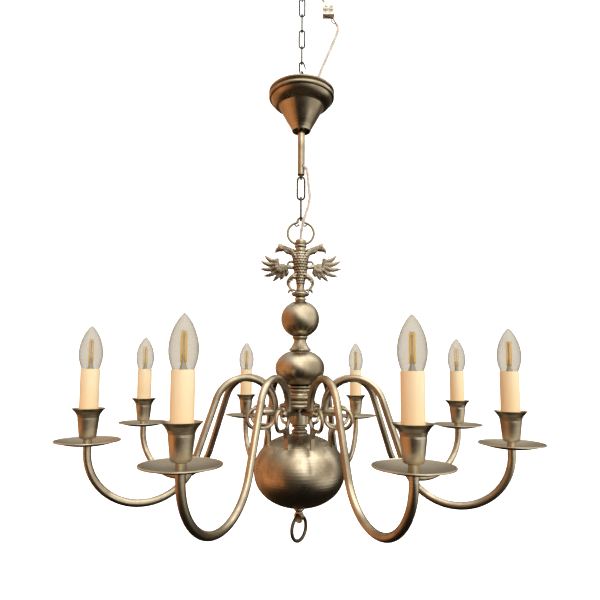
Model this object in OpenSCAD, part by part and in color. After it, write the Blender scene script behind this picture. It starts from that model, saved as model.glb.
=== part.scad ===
// Eight-arm hanging chandelier in antiqued brass with a turned column, an eagle finial and candle lights.
// Millimetres, +Z up. The origin is the centre of the ceiling plate's upper face, so everything hangs below it.
// +X is to the right and -Y is the front.

/* [Ceiling fitting] */
// Diameter of the ceiling plate
plate_d = 104; // [94:1:140]
// Thickness of the ceiling plate
plate_t = 3; // [2:0.5:5]
// Diameter of the circle of screw holes
screw_pcd = 84; // [76:1:88]
// Diameter of each screw hole
screw_hole_d = 4.8; // [3.5:0.1:6]
// Drop from the ceiling to where the chain hangs in the hook
hook_drop = 38.3; // [32:0.5:60]
// Wire diameter of the ceiling hook
hook_wire_d = 5; // [4:0.1:6]
// Diameter of the hook's eye, measured on the wire's centre line
hook_eye_d = 17; // [15:0.5:20]

/* [Upper chain] */
// Wire diameter of the chain
chain_wire_d = 3; // [2.5:0.1:3.4]
// Distance from one link to the next
chain_pitch = 31.7; // [26:0.1:38]
// Outside width of a link
chain_link_w = 13.2; // [11.4:0.1:13.4]
// Play left where two links or a link and a pin touch
link_play = 0.3; // [0.2:0.05:0.6]
// Hang of the open hook between the chain and the rod's loop
chain_hook_pitch = 17.5; // [14:0.5:24]

/* [Down rod] */
// Outside diameter of the down rod
rod_d = 13.5; // [12:0.1:15]
// Wall of the down rod
rod_wall = 1.5; // [1:0.1:2]
// Length of the down rod
rod_l = 191; // [160:1:240]
// Wire diameter of the loop on top of the rod
rod_loop_wire_d = 3; // [2.5:0.1:3.4]
// Diameter of that loop, measured on the wire's centre line
rod_loop_d = 9.5; // [9:0.1:10]

/* [Canopy] */
// Radius of the canopy's rim
canopy_r = 61; // [50:1:75]
// Height of the canopy
canopy_h = 77; // [64:1:92]
// Radius of the canopy's lower end
canopy_neck_r = 17; // [14.5:0.5:20]
// Sheet thickness of the canopy
canopy_wall = 1.6; // [1.2:0.1:2]
// Drop from the rod's top to the canopy's rim
canopy_drop = 31; // [24:1:40]
// Radial play between the rod and what slides on it
slide_play = 0.1; // [0.05:0.05:0.2]

/* [Lower links] */
// Wire diameter of the two lower links
link_wire_d = 3.8; // [3:0.1:4.2]
// Outside length of a lower link
link_l = 46.5; // [40:0.5:56]
// Outside width of a lower link
link_w = 17; // [15.5:0.5:19]
// Wire diameter of the eye under the rod
rod_eye_wire_d = 3.5; // [3:0.1:4]

/* [Column] */
// Outside diameter of the tie rod that holds the column together
tie_rod_d = 10; // [8:0.5:11]
// Play around the tie rod in each turned piece
bore_play = 0.2; // [0.1:0.05:0.3]
// Wire diameter of the lyre loop
lyre_wire_d = 4.4; // [3.6:0.1:5]
// Outside width of the lyre loop
lyre_w = 52; // [46:1:60]
// Height of the eagle between its collars
eagle_h = 80; // [72:1:92]
// Radius of the eagle's body at its chest
eagle_chest_r = 13.5; // [12:0.5:16]
// Radius of the dish under the eagle
dish_r = 15.9; // [14:0.1:19]
// Radius of the small ball
small_ball_r = 34.2; // [28:0.1:40]
// Height of the small ball
small_ball_h = 63; // [52:1:75]
// Height of the flared neck between the upper balls
upper_neck_h = 25; // [20:1:30]
// Radius of the medium ball
medium_ball_r = 43.8; // [36:0.1:52]
// Height of the medium ball
medium_ball_h = 63; // [52:1:75]
// Height of the stack of turned rings
ring_stack_h = 31; // [26:1:37]
// Radius of the large ball
large_ball_r = 79.5; // [66:0.5:90]
// Height of the large ball
large_ball_h = 122; // [101:1:140]
// Sheet thickness of the balls
ball_wall = 1.6; // [1.2:0.1:2.5]

/* [Hub] */
// Radius of the disc above the arms
hub_disc_r = 36.5; // [30:0.5:44]
// Thickness of that disc
hub_disc_h = 7; // [5:0.5:9]
// Radius of the barrel that takes the pegs
hub_barrel_r = 18; // [17:0.5:22]
// Height of the barrel
hub_barrel_h = 26; // [22:0.5:32]
// Height of the neck under the barrel
lower_neck_h = 21; // [17:0.5:26]

/* [Arms] */
// Radius of the circle on which the candles stand
arm_reach = 344.5; // [300:1:400]
// Outside diameter of the arm tube
arm_d = 12; // [10:0.5:12.5]
// Wall of the arm tube
arm_wall = 1.3; // [1:0.1:2]
// Bend radius of the arch over the hub
arch_bend_r = 52; // [44:1:60]
// Bend radius of the sweep under the candle
sweep_bend_r = 82.5; // [70:0.5:95]
// Depth of the sweep's lowest point below the pegs
sweep_drop = 134; // [112:0.5:150]
// Radius at which the arm comes down to its peg
arm_root_r = 48; // [42:1:56]
// Height of the candle pan above the sweep's centre
pan_rise = 9.5; // [8:0.5:20]
// Diameter of the peg
peg_d = 12; // [9:0.5:12]
// Radius at which the peg ends outside
peg_end_r = 66; // [60:1:70]

/* [Candles] */
// Diameter of the drip pan
pan_d = 96; // [80:1:112]
// Height of the cup
cup_h = 45.5; // [40:0.5:52]
// Diameter of the cup's rim
cup_rim_d = 49; // [42:0.5:56]
// Outside diameter of the candle sleeve
sleeve_d = 28; // [27:0.1:29]
// Length of the candle sleeve
sleeve_l = 75; // [62:0.5:90]
// Widest diameter of the bulb
bulb_d = 35; // [32:0.5:40]
// Height of the bulb's glass above the sleeve
bulb_h = 66; // [56:0.5:78]

/* [Pull ring] */
// Outside diameter of the pull ring
ring_d = 48; // [42:0.5:56]
// Wire diameter of the pull ring
ring_wire_d = 6.4; // [5:0.1:7]
// How far the ring's plane is turned from facing the front
ring_turn = 55; // [0:5:90]

/* [Hidden] */

// Colours of the finishes
brass = [0.47, 0.37, 0.23];
dark_steel = [0.08, 0.08, 0.08];
bright_steel = [0.7, 0.7, 0.68];
clear_cord = [0.86, 0.82, 0.79];
white_plastic = [0.9, 0.9, 0.86];
candle_cream = [0.95, 0.78, 0.6];
glass_tint = [0.85, 0.85, 0.8, 0.4];

// Facets of small, middling and large round shapes
fine = 32;
round_fn = 64;
wide_fn = 96;

// Ceiling fitting
boss_r = 9;
boss_h = 12;
shank_in = 9;
screw_count = 3;
cable_x = 38;
cable_hole_r = 5;
bush_h = 8;
bush_rim = 1.8;
hook_r = hook_eye_d / 2;
hook_mid_z = -hook_drop - hook_wire_d / 2 + hook_r;

// Upper chain: contact heights from the top link down, each the top of the wire that carries the next link
chain_count = 5;
function contact_z(k) = -hook_drop - k * chain_pitch;
chain_end_z = contact_z(chain_count);
loop_contact_z = chain_end_z - chain_hook_pitch;
loop_twist = 60;
loop_play = 0.8;

// Down rod
rod_r = rod_d / 2;
rod_bore_r = rod_r - rod_wall;
loop_r = rod_loop_d / 2;
loop_mid_z = loop_contact_z + loop_play + rod_loop_wire_d / 2 - loop_r;
rod_top_z = loop_mid_z - loop_r - rod_loop_wire_d / 2 + 1;
rod_end_z = rod_top_z - rod_l;
plug_h = 8;
rod_eye_r = 4.5;
// Low enough for the eye's shoulders to stay inside the rod's bore
rod_eye_mid_z = rod_end_z - sqrt(pow(rod_eye_r + rod_eye_wire_d / 2, 2) - pow(rod_bore_r - 0.1, 2));
outlet_z = rod_end_z + 15;
outlet_r = 3.2;
outlet_turn = -45;
supply_outlet_z = rod_top_z - 20;

// Canopy
canopy_rim_z = rod_top_z - canopy_drop;
canopy_end_z = canopy_rim_z - canopy_h;
web_t = 2.5;
web_z = canopy_end_z + 11;
collar_r = 10.5;
collar_h = 8;
collar_z = web_z - collar_h;
grub_r = 2;

// Lower links
link_c = link_l - link_wire_d;
link1_top_z = rod_eye_mid_z - rod_eye_r + rod_eye_wire_d / 2 + link_play + link_wire_d / 2;
link1_end_z = link1_top_z - link_c;
link2_top_z = link1_end_z + link_wire_d + link_play;
link2_end_z = link2_top_z - link_c;
lyre_top_z = link2_end_z + link_wire_d / 2 + link_play + lyre_wire_d / 2;

// Column, from the lyre down
lyre_drop = 50;
lyre_bow_r = 6;
lyre_side_r = 20;
lyre_curl_r = 3.2;
lyre_base_t = 4;
cord_cup_h = 5.3;
cord_cup_r = 9.6;
neck_collar_h = 6.5;
neck_collar_r = 10.5;
dish_h = 9;
ring_collar_h = 9;
ring_collar_r = 10.2;
bore_r = tie_rod_d / 2 + bore_play;
lyre_base_z = lyre_top_z - lyre_drop;
eagle_top_z = lyre_base_z - neck_collar_h;
dish_top_z = eagle_top_z - eagle_h;
small_top_z = dish_top_z - dish_h - ring_collar_h;
upper_neck_z = small_top_z - small_ball_h;
medium_top_z = upper_neck_z - upper_neck_h;
ring_top_z = medium_top_z - medium_ball_h;
disc_top_z = ring_top_z - ring_stack_h;
barrel_top_z = disc_top_z - hub_disc_h;
lower_neck_top_z = barrel_top_z - hub_barrel_h;
large_top_z = lower_neck_top_z - lower_neck_h;
collar_top_z = large_top_z - large_ball_h;
bottom_collar_h = 9;
eye_top_z = collar_top_z - bottom_collar_h;
ball_seat_r = 9.5;
upper_neck_r = 10.9;
flare_r = 19.6;
ring_stack_r = 21;
lower_neck_r = 13;
rod_thread_in = 6;

// Arms
arm_count = 8;
arm_turn = 22.5;
peg_seat = 1.8;
seam_t = 0.2;
seam_l = 3;
seam_gap = 0.3;
peg_z = barrel_top_z - peg_d / 2 - 0.2;
arm_r = arm_d / 2;
arch_x = arm_root_r + arch_bend_r;
arch_z = peg_z + 7;
sweep_x = arm_reach - sweep_bend_r;
sweep_z = peg_z - sweep_drop + sweep_bend_r;
gap_x = sweep_x - arch_x;
gap_z = sweep_z - arch_z;
gap = norm([gap_x, gap_z]);
// The straight part touches both bends from opposite sides
tangent_turn = atan2(gap_z, gap_x) + acos((arch_bend_r + sweep_bend_r) / gap);
straight_l = sqrt(gap * gap - pow(arch_bend_r + sweep_bend_r, 2));
pan_z = sweep_z + pan_rise;
scroll_wire_r = 3.2;
scroll_r = 17;
scroll_half = 7;
scroll_x = arm_root_r + scroll_r + scroll_half;
scroll_z = peg_z - 10;
knob_r = 4.4;
strap_w = 6.5;
strap_t = 3;
slot_clear = 0.6;
strap_x = 58;
strap_drop = 62;

// Candles
nipple_r = 5;
stem_r = 6.4;
stem_h = 8.7;
nipple_in = 5;
pan_t = 1.2;
pan_rim_h = 7.5;
cup_z = pan_z + pan_t + stem_h;
cup_wall = 1.2;
cup_waist_r = sleeve_d / 2 + 1.5;
cup_seat = cup_h * 0.645;
sleeve_z = cup_z + cup_seat + 0.5;
sleeve_top_z = sleeve_z + sleeve_l;
sleeve_wall = 1.4;
holder_r = 10.8;
holder_drop = 14;
holder_z = cup_z + 24;
holder_h = sleeve_top_z - holder_drop - holder_z;
cap_r = 7;
cap_play = 0.4;
cap_l = 24;
glass_neck_r = sleeve_d / 2 - sleeve_wall - 0.6;
glass_t = 1;
bulb_r = bulb_d / 2;

// Pull ring
ring_wire_r = ring_wire_d / 2;
ring_c_r = ring_d / 2 - ring_wire_r;
eye_hole_r = ring_wire_r + 1.6;
eye_r = eye_hole_r + 3.4;
eye_t = 8;
eye_hole_z = eye_top_z - 8;

// Cords, with the way each one lies
cord_r = 3;
core_r = 1.3;
cord_sides = 8;
block_x = 50;
block_z = -91;
block_w = 22;
block_d = 13;
block_h = 24;
supply_end_z = block_z - block_h / 2 - 14;
// Each point is its distance from the axis and its share of the drop from the block to the outlet
supply_route = [for (p = [[9.5, 1], [18, 0.984], [25, 0.928], [32, 0.84], [39, 0.688], [47, 0.536],
                          [55, 0.384], [62, 0.248], [67, 0.136], [68, 0.056], [65, 0]])
    [p[0], 0, supply_end_z + (supply_outlet_z - supply_end_z) * p[1]]];
feed_z = block_z + block_h / 2;
feed_route = [for (p = [[-5, 0], [-5, 3], [-9, 10], [-12, 18], [-13, 29], [-13, 41], [-12, 53], [-12, 64]])
    [block_x + p[0], 0, feed_z + p[1]]];
lower_route_1 = [for (p = [[13, -7, -9], [14, -6.5, -17], [15, -6.5, -25], [16, -6.5, -34]])
    p + [0, 0, link1_top_z]];
lower_route_2 = [for (p = [[15.5, -6.5, -7.5], [14, -6.5, -15.5], [12, -6.5, -23.5], [9, -6.7, -32.5]])
    p + [0, 0, link2_top_z]];
lower_route_3 = [for (p = [[4.5, -7, -9], [3, -5.5, -16], [1.5, -3.5, -23], [0.5, -1.5, -31], [0, 0, -40]])
    p + [0, 0, lyre_top_z]];

// Points along an arc in the plane of a profile
function arc_points(cx, cz, r, from, to, steps) =
    [for (i = [0:steps]) let(a = from + (to - from) * i / steps) [cx + r * cos(a), cz + r * sin(a)]];

// Right half of a rounded ball's outline, from its lower pole to its upper one
function ball_points(r, half_h, fullness, steps) =
    [for (i = [0:steps]) let(a = -90 + 180 * i / steps)
        [r * pow(max(cos(a), 0), 2 / fullness), half_h * sign(a) * pow(abs(sin(a)), 2 / fullness)]];

// Rings of points around a route, and the direction at one of its points
function route_dir(route, i) =
    let(a = route[max(i - 1, 0)], b = route[min(i + 1, len(route) - 1)]) (b - a) / norm(b - a);
function ring_points(route, i, r) =
    let(t = route_dir(route, i), side = cross(t, [0, 1, 0]) / norm(cross(t, [0, 1, 0])), up = cross(side, t))
    [for (k = [0:cord_sides - 1]) route[i] + r * (cos(360 * k / cord_sides) * side + sin(360 * k / cord_sides) * up)];

// A cord swept along its route
module cord(route, r) {
    n = cord_sides;
    last = len(route) - 1;
    points = [for (i = [0:last]) each ring_points(route, i, r)];
    walls = [for (i = [0:last - 1], k = [0:n - 1])
        [i * n + k, i * n + (k + 1) % n, (i + 1) * n + (k + 1) % n, (i + 1) * n + k]];
    start = [[for (k = [n - 1:-1:0]) k]];
    end = [[for (k = [0:n - 1]) last * n + k]];
    polyhedron(points = points, faces = concat(start, walls, end), convexity = 4);
}

// An arc of round bar in the XZ plane, counted from +X towards +Z
module bar_arc(bend_r, bar_r, from, sweep, bore = 0, fn = round_fn) {
    rotate([90, 0, 0])
        rotate([0, 0, from])
            rotate_extrude(angle = sweep, $fn = fn)
                translate([bend_r, 0])
                    difference() {
                        circle(r = bar_r, $fn = fine);
                        if (bore > 0) circle(r = bore, $fn = fine);
                    }
}

// A straight round bar between two points
module bar(from, to, r_from, r_to) {
    v = to - from;
    translate(from)
        rotate([0, acos(v[2] / norm(v)), atan2(v[1], v[0])])
            cylinder(h = norm(v), r1 = r_from, r2 = r_to, $fn = fine);
}

// An oval chain link in the XZ plane, hanging from the centre of its upper bow
module oval_link(length, width, wire) {
    bend = (width - wire) / 2;
    straight = length - wire - 2 * bend;
    translate([0, 0, -bend]) bar_arc(bend, wire / 2, 0, 180);
    translate([0, 0, -bend - straight]) bar_arc(bend, wire / 2, 180, 180);
    for (x = [-bend, bend])
        translate([x, 0, -bend - straight]) cylinder(h = straight, d = wire, $fn = fine);
}

module turned(points, fn = wide_fn) {
    rotate_extrude($fn = fn) polygon(points);
}

// A hollow spun ball between two flat seats, bored for the tie rod
module spun_ball(r, h, fullness) {
    seat = 1.6;
    half = h / 2;
    rotate_extrude($fn = wide_fn)
        difference() {
            intersection() {
                polygon(ball_points(r, half + seat, fullness, 40));
                translate([0, -half]) square([r + 1, h]);
            }
            intersection() {
                polygon(ball_points(r - ball_wall, half + seat - ball_wall, fullness, 40));
                translate([0, -half + ball_wall]) square([r, h - 2 * ball_wall]);
            }
            translate([0, -half - 1]) square([bore_r, h + 2]);
        }
}

module around_arms() {
    for (i = [0:arm_count - 1]) rotate([0, 0, arm_angle(i)]) children();
}
function arm_angle(i) = -90 + arm_turn + 360 / arm_count * i;

// ---- Ceiling fitting ----

module ceiling_plate() {
    color(brass)
        difference() {
            union() {
                translate([0, 0, -plate_t]) cylinder(h = plate_t, d = plate_d, $fn = wide_fn);
                translate([0, 0, -plate_t - boss_h]) cylinder(h = boss_h, r = boss_r, $fn = round_fn);
            }
            translate([0, 0, -plate_t - boss_h - 1])
                cylinder(h = shank_in + 1, d = hook_wire_d, $fn = fine);
            translate([cable_x, 0, -plate_t - 1])
                cylinder(h = plate_t + 2, r = cable_hole_r, $fn = fine);
            for (i = [0:screw_count - 1])
                rotate([0, 0, 90 + 360 / screw_count * i])
                    translate([screw_pcd / 2, 0, -plate_t - 1])
                        cylinder(h = plate_t + 2, d = screw_hole_d, $fn = fine);
        }
}

module ceiling_hook() {
    opening = 40;
    shank_top = -plate_t - boss_h + shank_in;
    color(dark_steel) {
        translate([0, 0, hook_mid_z]) bar_arc(hook_r, hook_wire_d / 2, 90, 360 - opening);
        translate([0, 0, hook_mid_z + hook_r])
            cylinder(h = shank_top - hook_mid_z - hook_r, d = hook_wire_d, $fn = fine);
    }
}

module cable_bush() {
    color(white_plastic)
        translate([cable_x, 0, -plate_t])
            difference() {
                union() {
                    cylinder(h = plate_t - 0.5, r = cable_hole_r, $fn = fine);
                    translate([0, 0, -bush_h]) cylinder(h = bush_h, r1 = cord_r + 1, r2 = cable_hole_r + bush_rim, $fn = fine);
                }
                translate([0, 0, -bush_h - 1]) cylinder(h = bush_h + plate_t + 2, r = cord_r, $fn = fine);
            }
}

// ---- Upper chain ----

// Link k of the chain, counted from the top, turned edge-on when k is even
module chain_link(k) {
    translate([0, 0, contact_z(k) + chain_wire_d / 2 + link_play])
        rotate([0, 0, k % 2 == 0 ? 90 : 0])
            oval_link(chain_pitch + 2 * chain_wire_d + link_play, chain_link_w, chain_wire_d);
}

module chain_link_top() {
    color(dark_steel) chain_link(0);
}

module chain_links() {
    color(dark_steel) for (k = [1:chain_count - 1]) chain_link(k);
}

module chain_hook() {
    bend = 4.4;
    top = chain_end_z + chain_wire_d / 2 + link_play;
    low = loop_contact_z - chain_wire_d / 2;
    tip = 9;
    color(dark_steel) {
        translate([0, 0, top - bend]) bar_arc(bend, chain_wire_d / 2, 0, 180);
        translate([0, 0, low + bend]) bar_arc(bend, chain_wire_d / 2, 180, 130);
        translate([-bend, 0, low + bend]) cylinder(h = top - low - 2 * bend, d = chain_wire_d, $fn = fine);
        bar([bend, 0, top - bend], [bend + 3, 0, top - bend - tip], chain_wire_d / 2, 0.9);
    }
}

// ---- Down rod ----

module rod_loop() {
    color(bright_steel) {
        translate([0, 0, loop_mid_z]) rotate([0, 0, loop_twist])
            rotate([90, 0, 0]) rotate_extrude($fn = round_fn) translate([loop_r, 0])
                circle(r = rod_loop_wire_d / 2, $fn = fine);
        translate([0, 0, rod_top_z]) mirror([0, 0, 1]) cylinder(h = plug_h, r = rod_bore_r, $fn = round_fn);
    }
}

module down_rod() {
    color(brass)
        difference() {
            translate([0, 0, rod_end_z]) cylinder(h = rod_l, r = rod_r, $fn = round_fn);
            translate([0, 0, rod_end_z - 1]) cylinder(h = rod_l + 2, r = rod_bore_r, $fn = round_fn);
            translate([0, 0, outlet_z]) rotate([0, 0, outlet_turn]) rotate([0, 90, 0])
                cylinder(h = rod_d, r = outlet_r, $fn = fine);
            translate([0, 0, supply_outlet_z]) rotate([0, 90, 0])
                cylinder(h = rod_d, r = outlet_r, $fn = fine);
        }
}

module rod_eye() {
    color(dark_steel) {
        translate([0, 0, rod_end_z]) cylinder(h = plug_h, r = rod_bore_r, $fn = round_fn);
        translate([0, 0, rod_eye_mid_z]) rotate([0, 0, 90])
            rotate([90, 0, 0]) rotate_extrude($fn = round_fn) translate([rod_eye_r, 0])
                circle(r = rod_eye_wire_d / 2, $fn = fine);
    }
}

module supply_cord() {
    color(clear_cord) cord(supply_route, cord_r);
}

// ---- Terminal block above the canopy ----

module terminal_block() {
    tower_r = 4.2;
    color(white_plastic)
        translate([block_x, 0, block_z]) {
            translate([-block_w / 2, -block_d / 2, -block_h / 2]) cube([block_w, block_d, block_h]);
            for (x = [-5.2, 5.2])
                translate([x, -block_d / 2 - 4, 0]) rotate([-90, 0, 0])
                    difference() {
                        cylinder(h = 6, r = tower_r, $fn = fine);
                        translate([0, 0, -1]) cylinder(h = 4, r = tower_r - 1.5, $fn = fine);
                    }
        }
}

module feed_cord() {
    color(clear_cord) cord(feed_route, core_r * 2);
}

// ---- Canopy ----

// Outline of the canopy's outside, from its lower end to its rim
canopy_step_r = canopy_r - 20;
canopy_step_z = canopy_h - 31;
function canopy_outline(inset) = concat(
    [[canopy_neck_r - inset, 0]],
    [[canopy_neck_r - inset + 1, 3]],
    [for (i = [1:6]) let(s = i / 7)
        [canopy_neck_r + (canopy_step_r - canopy_neck_r) * pow(s, 0.95) - inset, 3 + (canopy_step_z - 3) * s]],
    [[canopy_step_r - inset, canopy_step_z], [canopy_step_r + 2 - inset, canopy_step_z + 1.5 + inset / 2]],
    arc_points(canopy_r - 23, canopy_h - 10, 20 - inset, -76, -12, 8),
    inset > 0 ? [[canopy_r - 3 - inset, canopy_h]] :
        concat(arc_points(canopy_r - 4.4, canopy_h - 12.2, 4.4, -60, 90, 8),
               [[canopy_r - 3, canopy_h - 6.6]],
               arc_points(canopy_r - 2.9, canopy_h - 2.9, 2.9, -70, 90, 7))
);

module canopy() {
    color(brass)
        translate([0, 0, canopy_end_z]) {
            rotate_extrude($fn = wide_fn)
                difference() {
                    polygon(concat([[0, 0]], canopy_outline(0), [[0, canopy_h]]));
                    polygon(concat([[0, -0.01]], canopy_outline(canopy_wall), [[0, canopy_h + 1]]));
                }
            translate([0, 0, web_z - canopy_end_z])
                difference() {
                    cylinder(h = web_t, r = canopy_neck_r + (canopy_step_r - canopy_neck_r) * 0.19, $fn = wide_fn);
                    translate([0, 0, -1]) cylinder(h = web_t + 2, r = rod_r + slide_play, $fn = round_fn);
                }
        }
}

module canopy_collar() {
    color(brass)
        difference() {
            translate([0, 0, collar_z]) cylinder(h = collar_h, r = collar_r, $fn = round_fn);
            translate([0, 0, collar_z - 1]) cylinder(h = collar_h + 2, r = rod_r + slide_play, $fn = round_fn);
            translate([0, 0, collar_z + collar_h / 2]) rotate([90, 0, 0])
                cylinder(h = collar_r + 1, r = grub_r, $fn = fine);
        }
}

module canopy_screw() {
    from = rod_r + slide_play;
    color(dark_steel)
        translate([0, -from, collar_z + collar_h / 2]) rotate([90, 0, 0])
            difference() {
                cylinder(h = collar_r - from + 0.8, r = grub_r, $fn = fine);
                translate([-grub_r, -0.3, collar_r - from - 0.2]) cube([2 * grub_r, 0.6, 2]);
            }
}

// ---- Lower links and the cord beside them ----

module lower_link_1() {
    color(brass) translate([0, 0, link1_top_z]) oval_link(link_l, link_w, link_wire_d);
}

module lower_link_2() {
    color(brass) translate([0, 0, link2_top_z]) rotate([0, 0, 90]) oval_link(link_l, link_w, link_wire_d);
}

module lower_cord_1() {
    color(clear_cord) cord(lower_route_1, cord_r);
}

module lower_cord_2() {
    color(clear_cord) cord(lower_route_2, cord_r);
}

module lower_cord_3() {
    color(clear_cord) cord(lower_route_3, cord_r);
}

// ---- Column ----

module lyre_loop() {
    wire = lyre_wire_d / 2;
    side_x = lyre_w / 2 - wire - lyre_side_r;
    reach = acos((lyre_bow_r - side_x) / lyre_side_r);
    bow_z = lyre_top_z - lyre_bow_r;
    side_z = bow_z - 3 - lyre_side_r * sin(reach);
    color(brass) {
        translate([0, 0, bow_z]) bar_arc(lyre_bow_r, wire, 0, 180);
        for (m = [0, 1]) mirror([m, 0, 0]) {
            translate([lyre_bow_r, 0, bow_z - 3.4]) cylinder(h = 4, r = wire + 0.3, $fn = fine);
            translate([side_x, 0, side_z]) bar_arc(lyre_side_r, wire, -72, 72 + reach);
            translate([lyre_bow_r + 1.2, 0, bow_z - 6]) bar_arc(lyre_curl_r, 1.5, -150, 200, fn = 32);
            translate([lyre_bow_r + 1.2 - lyre_curl_r, 0, bow_z - 7.4]) sphere(r = 2.1, $fn = fine);
        }
        translate([0, 0, lyre_base_z])
            difference() {
                cylinder(h = lyre_base_t, r = cord_cup_r + 1, $fn = round_fn);
                translate([0, 0, -1]) cylinder(h = lyre_base_t + 2, r = bore_r, $fn = round_fn);
            }
    }
}

module cord_cup() {
    z = lyre_base_z + lyre_base_t;
    color(brass)
        difference() {
            translate([0, 0, z])
                turned(concat([[0, 0], [cord_cup_r, 0]],
                              arc_points(cord_cup_r - 2.6, cord_cup_h - 2.6, 2.6, 0, 90, 6),
                              [[0, cord_cup_h]]), round_fn);
            translate([0, 0, z - 1]) cylinder(h = cord_cup_h + 2, r = cord_r + 0.2, $fn = fine);
        }
}

module neck_collar() {
    half = neck_collar_h / 2;
    color(brass)
        translate([0, 0, eagle_top_z])
            difference() {
                turned(concat([[0, 0], [neck_collar_r - 1.5, 0]],
                              arc_points(neck_collar_r - 2.2, half, half - 0.4, -60, 60, 8),
                              [[neck_collar_r - 1.5, neck_collar_h], [0, neck_collar_h]]), round_fn);
                translate([0, 0, -1]) cylinder(h = neck_collar_h + 2, r = bore_r, $fn = round_fn);
            }
}

module tie_rod() {
    top = lyre_base_z + lyre_base_t;
    color(bright_steel)
        difference() {
            translate([0, 0, eye_top_z + rod_thread_in])
                cylinder(h = top - eye_top_z - rod_thread_in, d = tie_rod_d, $fn = round_fn);
            translate([0, 0, eye_top_z + rod_thread_in - 1])
                cylinder(h = top - eye_top_z, d = tie_rod_d - 3, $fn = round_fn);
        }
}

// Half of the eagle's outline: shoulders, chest, waist and tail
function eagle_outline() = let(h = eagle_h, r = eagle_chest_r) [
    [0, 0], [9.5, 0], [8, 4], [8.2, h * 0.14], [9.4, h * 0.28], [r * 0.9, h * 0.45], [r, h * 0.62],
    [r * 0.97, h * 0.75], [r * 0.86, h * 0.88], [9.5, h], [0, h]
];

module eagle_body() {
    h = eagle_h;
    color(brass)
        difference() {
            translate([0, 0, dish_top_z]) {
                turned(eagle_outline(), round_fn);
                for (m = [0, 1]) mirror([m, 0, 0]) {
                    bar([7, 0, h * 0.86], [24, 0, h - 3], 5.6, 4.4);
                    translate([24, 0, h - 3]) sphere(r = 5, $fn = round_fn);
                    bar([24, 0, h - 3], [36, 0, h - 1], 4.4, 4.8);
                    translate([36, 0, h - 1]) sphere(r = 5.8, $fn = round_fn);
                    bar([37, 0, h - 1], [44, 0, h - 12], 4.2, 1.2);
                    bar([36, 0, h], [39, 0, h + 9], 4.6, 2.4);
                    bar([8, 0, h * 0.38], [21, 0, h * 0.24], 4.2, 3.4);
                    translate([21, 0, h * 0.24]) sphere(r = 4, $fn = fine);
                    bar([21, 0, h * 0.24], [15, 0, 4], 3.3, 2.8);
                    translate([15.5, -3, 3]) sphere(r = 3.6, $fn = fine);
                }
            }
            translate([0, 0, dish_top_z - 1]) cylinder(h = h + 2, r = bore_r, $fn = round_fn);
        }
}

// Length of each feather, from the top one round to the one nearest the body
feather_l = [39, 41, 41, 38, 31, 25, 19];
module eagle_wings() {
    thick = 5;
    first = 148;
    step = 24.5;
    shoulder = [0.6 * eagle_chest_r + 10, eagle_h * 0.64];
    color(brass)
        translate([0, 0, dish_top_z])
            for (m = [0, 1]) mirror([m, 0, 0])
                difference() {
                    translate([0, thick / 2, 0]) rotate([90, 0, 0]) linear_extrude(thick) mirror([1, 0]) {
                        translate([-shoulder[0] - 14, shoulder[1] - 4]) {
                            circle(r = 12, $fn = fine);
                            for (i = [0:len(feather_l) - 1])
                                rotate(first + step * i)
                                    polygon([[0, -4.6], [feather_l[i] * 0.7, -4.4], [feather_l[i], 1],
                                             [feather_l[i] * 0.75, 4.4], [0, 4.6]]);
                        }
                        translate([-shoulder[0] - 8, shoulder[1] - 4]) square([16, 8]);
                    }
                    cylinder(h = eagle_h, r = eagle_chest_r + 0.1, $fn = round_fn);
                }
}

module dish_collar() {
    z = dish_top_z - dish_h - ring_collar_h;
    half = ring_collar_h / 2;
    color(brass)
        translate([0, 0, z])
            difference() {
                turned(concat([[0, 0], [7.5, 0]],
                              arc_points(ring_collar_r - half, half, half, -60, 60, 10),
                              [[7.5, ring_collar_h], [9, ring_collar_h]],
                              arc_points(dish_r - 3, ring_collar_h + dish_h - 4.4, 3, -60, 80, 8),
                              [[dish_r - 5, ring_collar_h + dish_h], [0, ring_collar_h + dish_h]]));
                translate([0, 0, -1]) cylinder(h = ring_collar_h + dish_h + 2, r = bore_r, $fn = round_fn);
            }
}

module small_ball() {
    color(brass) translate([0, 0, small_top_z - small_ball_h / 2]) spun_ball(small_ball_r, small_ball_h, 2.05);
}

module upper_neck() {
    h = upper_neck_h;
    color(brass)
        translate([0, 0, medium_top_z])
            difference() {
                turned(concat([[0, 0], [flare_r, 0], [flare_r, 2]],
                              [for (i = [1:10]) let(s = i / 10)
                                  [upper_neck_r + (flare_r - upper_neck_r) * pow(1 - s, 1.8), 2 + (h - 8) * s]],
                              [[upper_neck_r + 1.5, h - 4.5], [upper_neck_r + 3, h - 2], [upper_neck_r + 3, h], [0, h]]));
                translate([0, 0, -1]) cylinder(h = h + 2, r = bore_r, $fn = round_fn);
            }
}

module medium_ball() {
    color(brass) translate([0, 0, medium_top_z - medium_ball_h / 2]) spun_ball(medium_ball_r, medium_ball_h, 2.05);
}

module ring_stack() {
    h = ring_stack_h;
    r = ring_stack_r;
    color(brass)
        translate([0, 0, disc_top_z])
            difference() {
                turned(concat([[0, 0], [r + 4, 0]],
                              arc_points(r + 4, h * 0.1, h * 0.1, -90, 90, 8),
                              [[r + 1, h * 0.2], [r - 2, h * 0.26]],
                              arc_points(r - 1, h * 0.38, h * 0.1, -80, 80, 8),
                              [[r - 5, h * 0.5], [r - 6, h * 0.62]],
                              arc_points(r - 2.5, h * 0.76, h * 0.11, -80, 80, 8),
                              [[r - 3, h * 0.89], [r + 1, h * 0.94], [r + 1, h], [0, h]]));
                translate([0, 0, -1]) cylinder(h = h + 2, r = bore_r, $fn = round_fn);
            }
}

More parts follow.
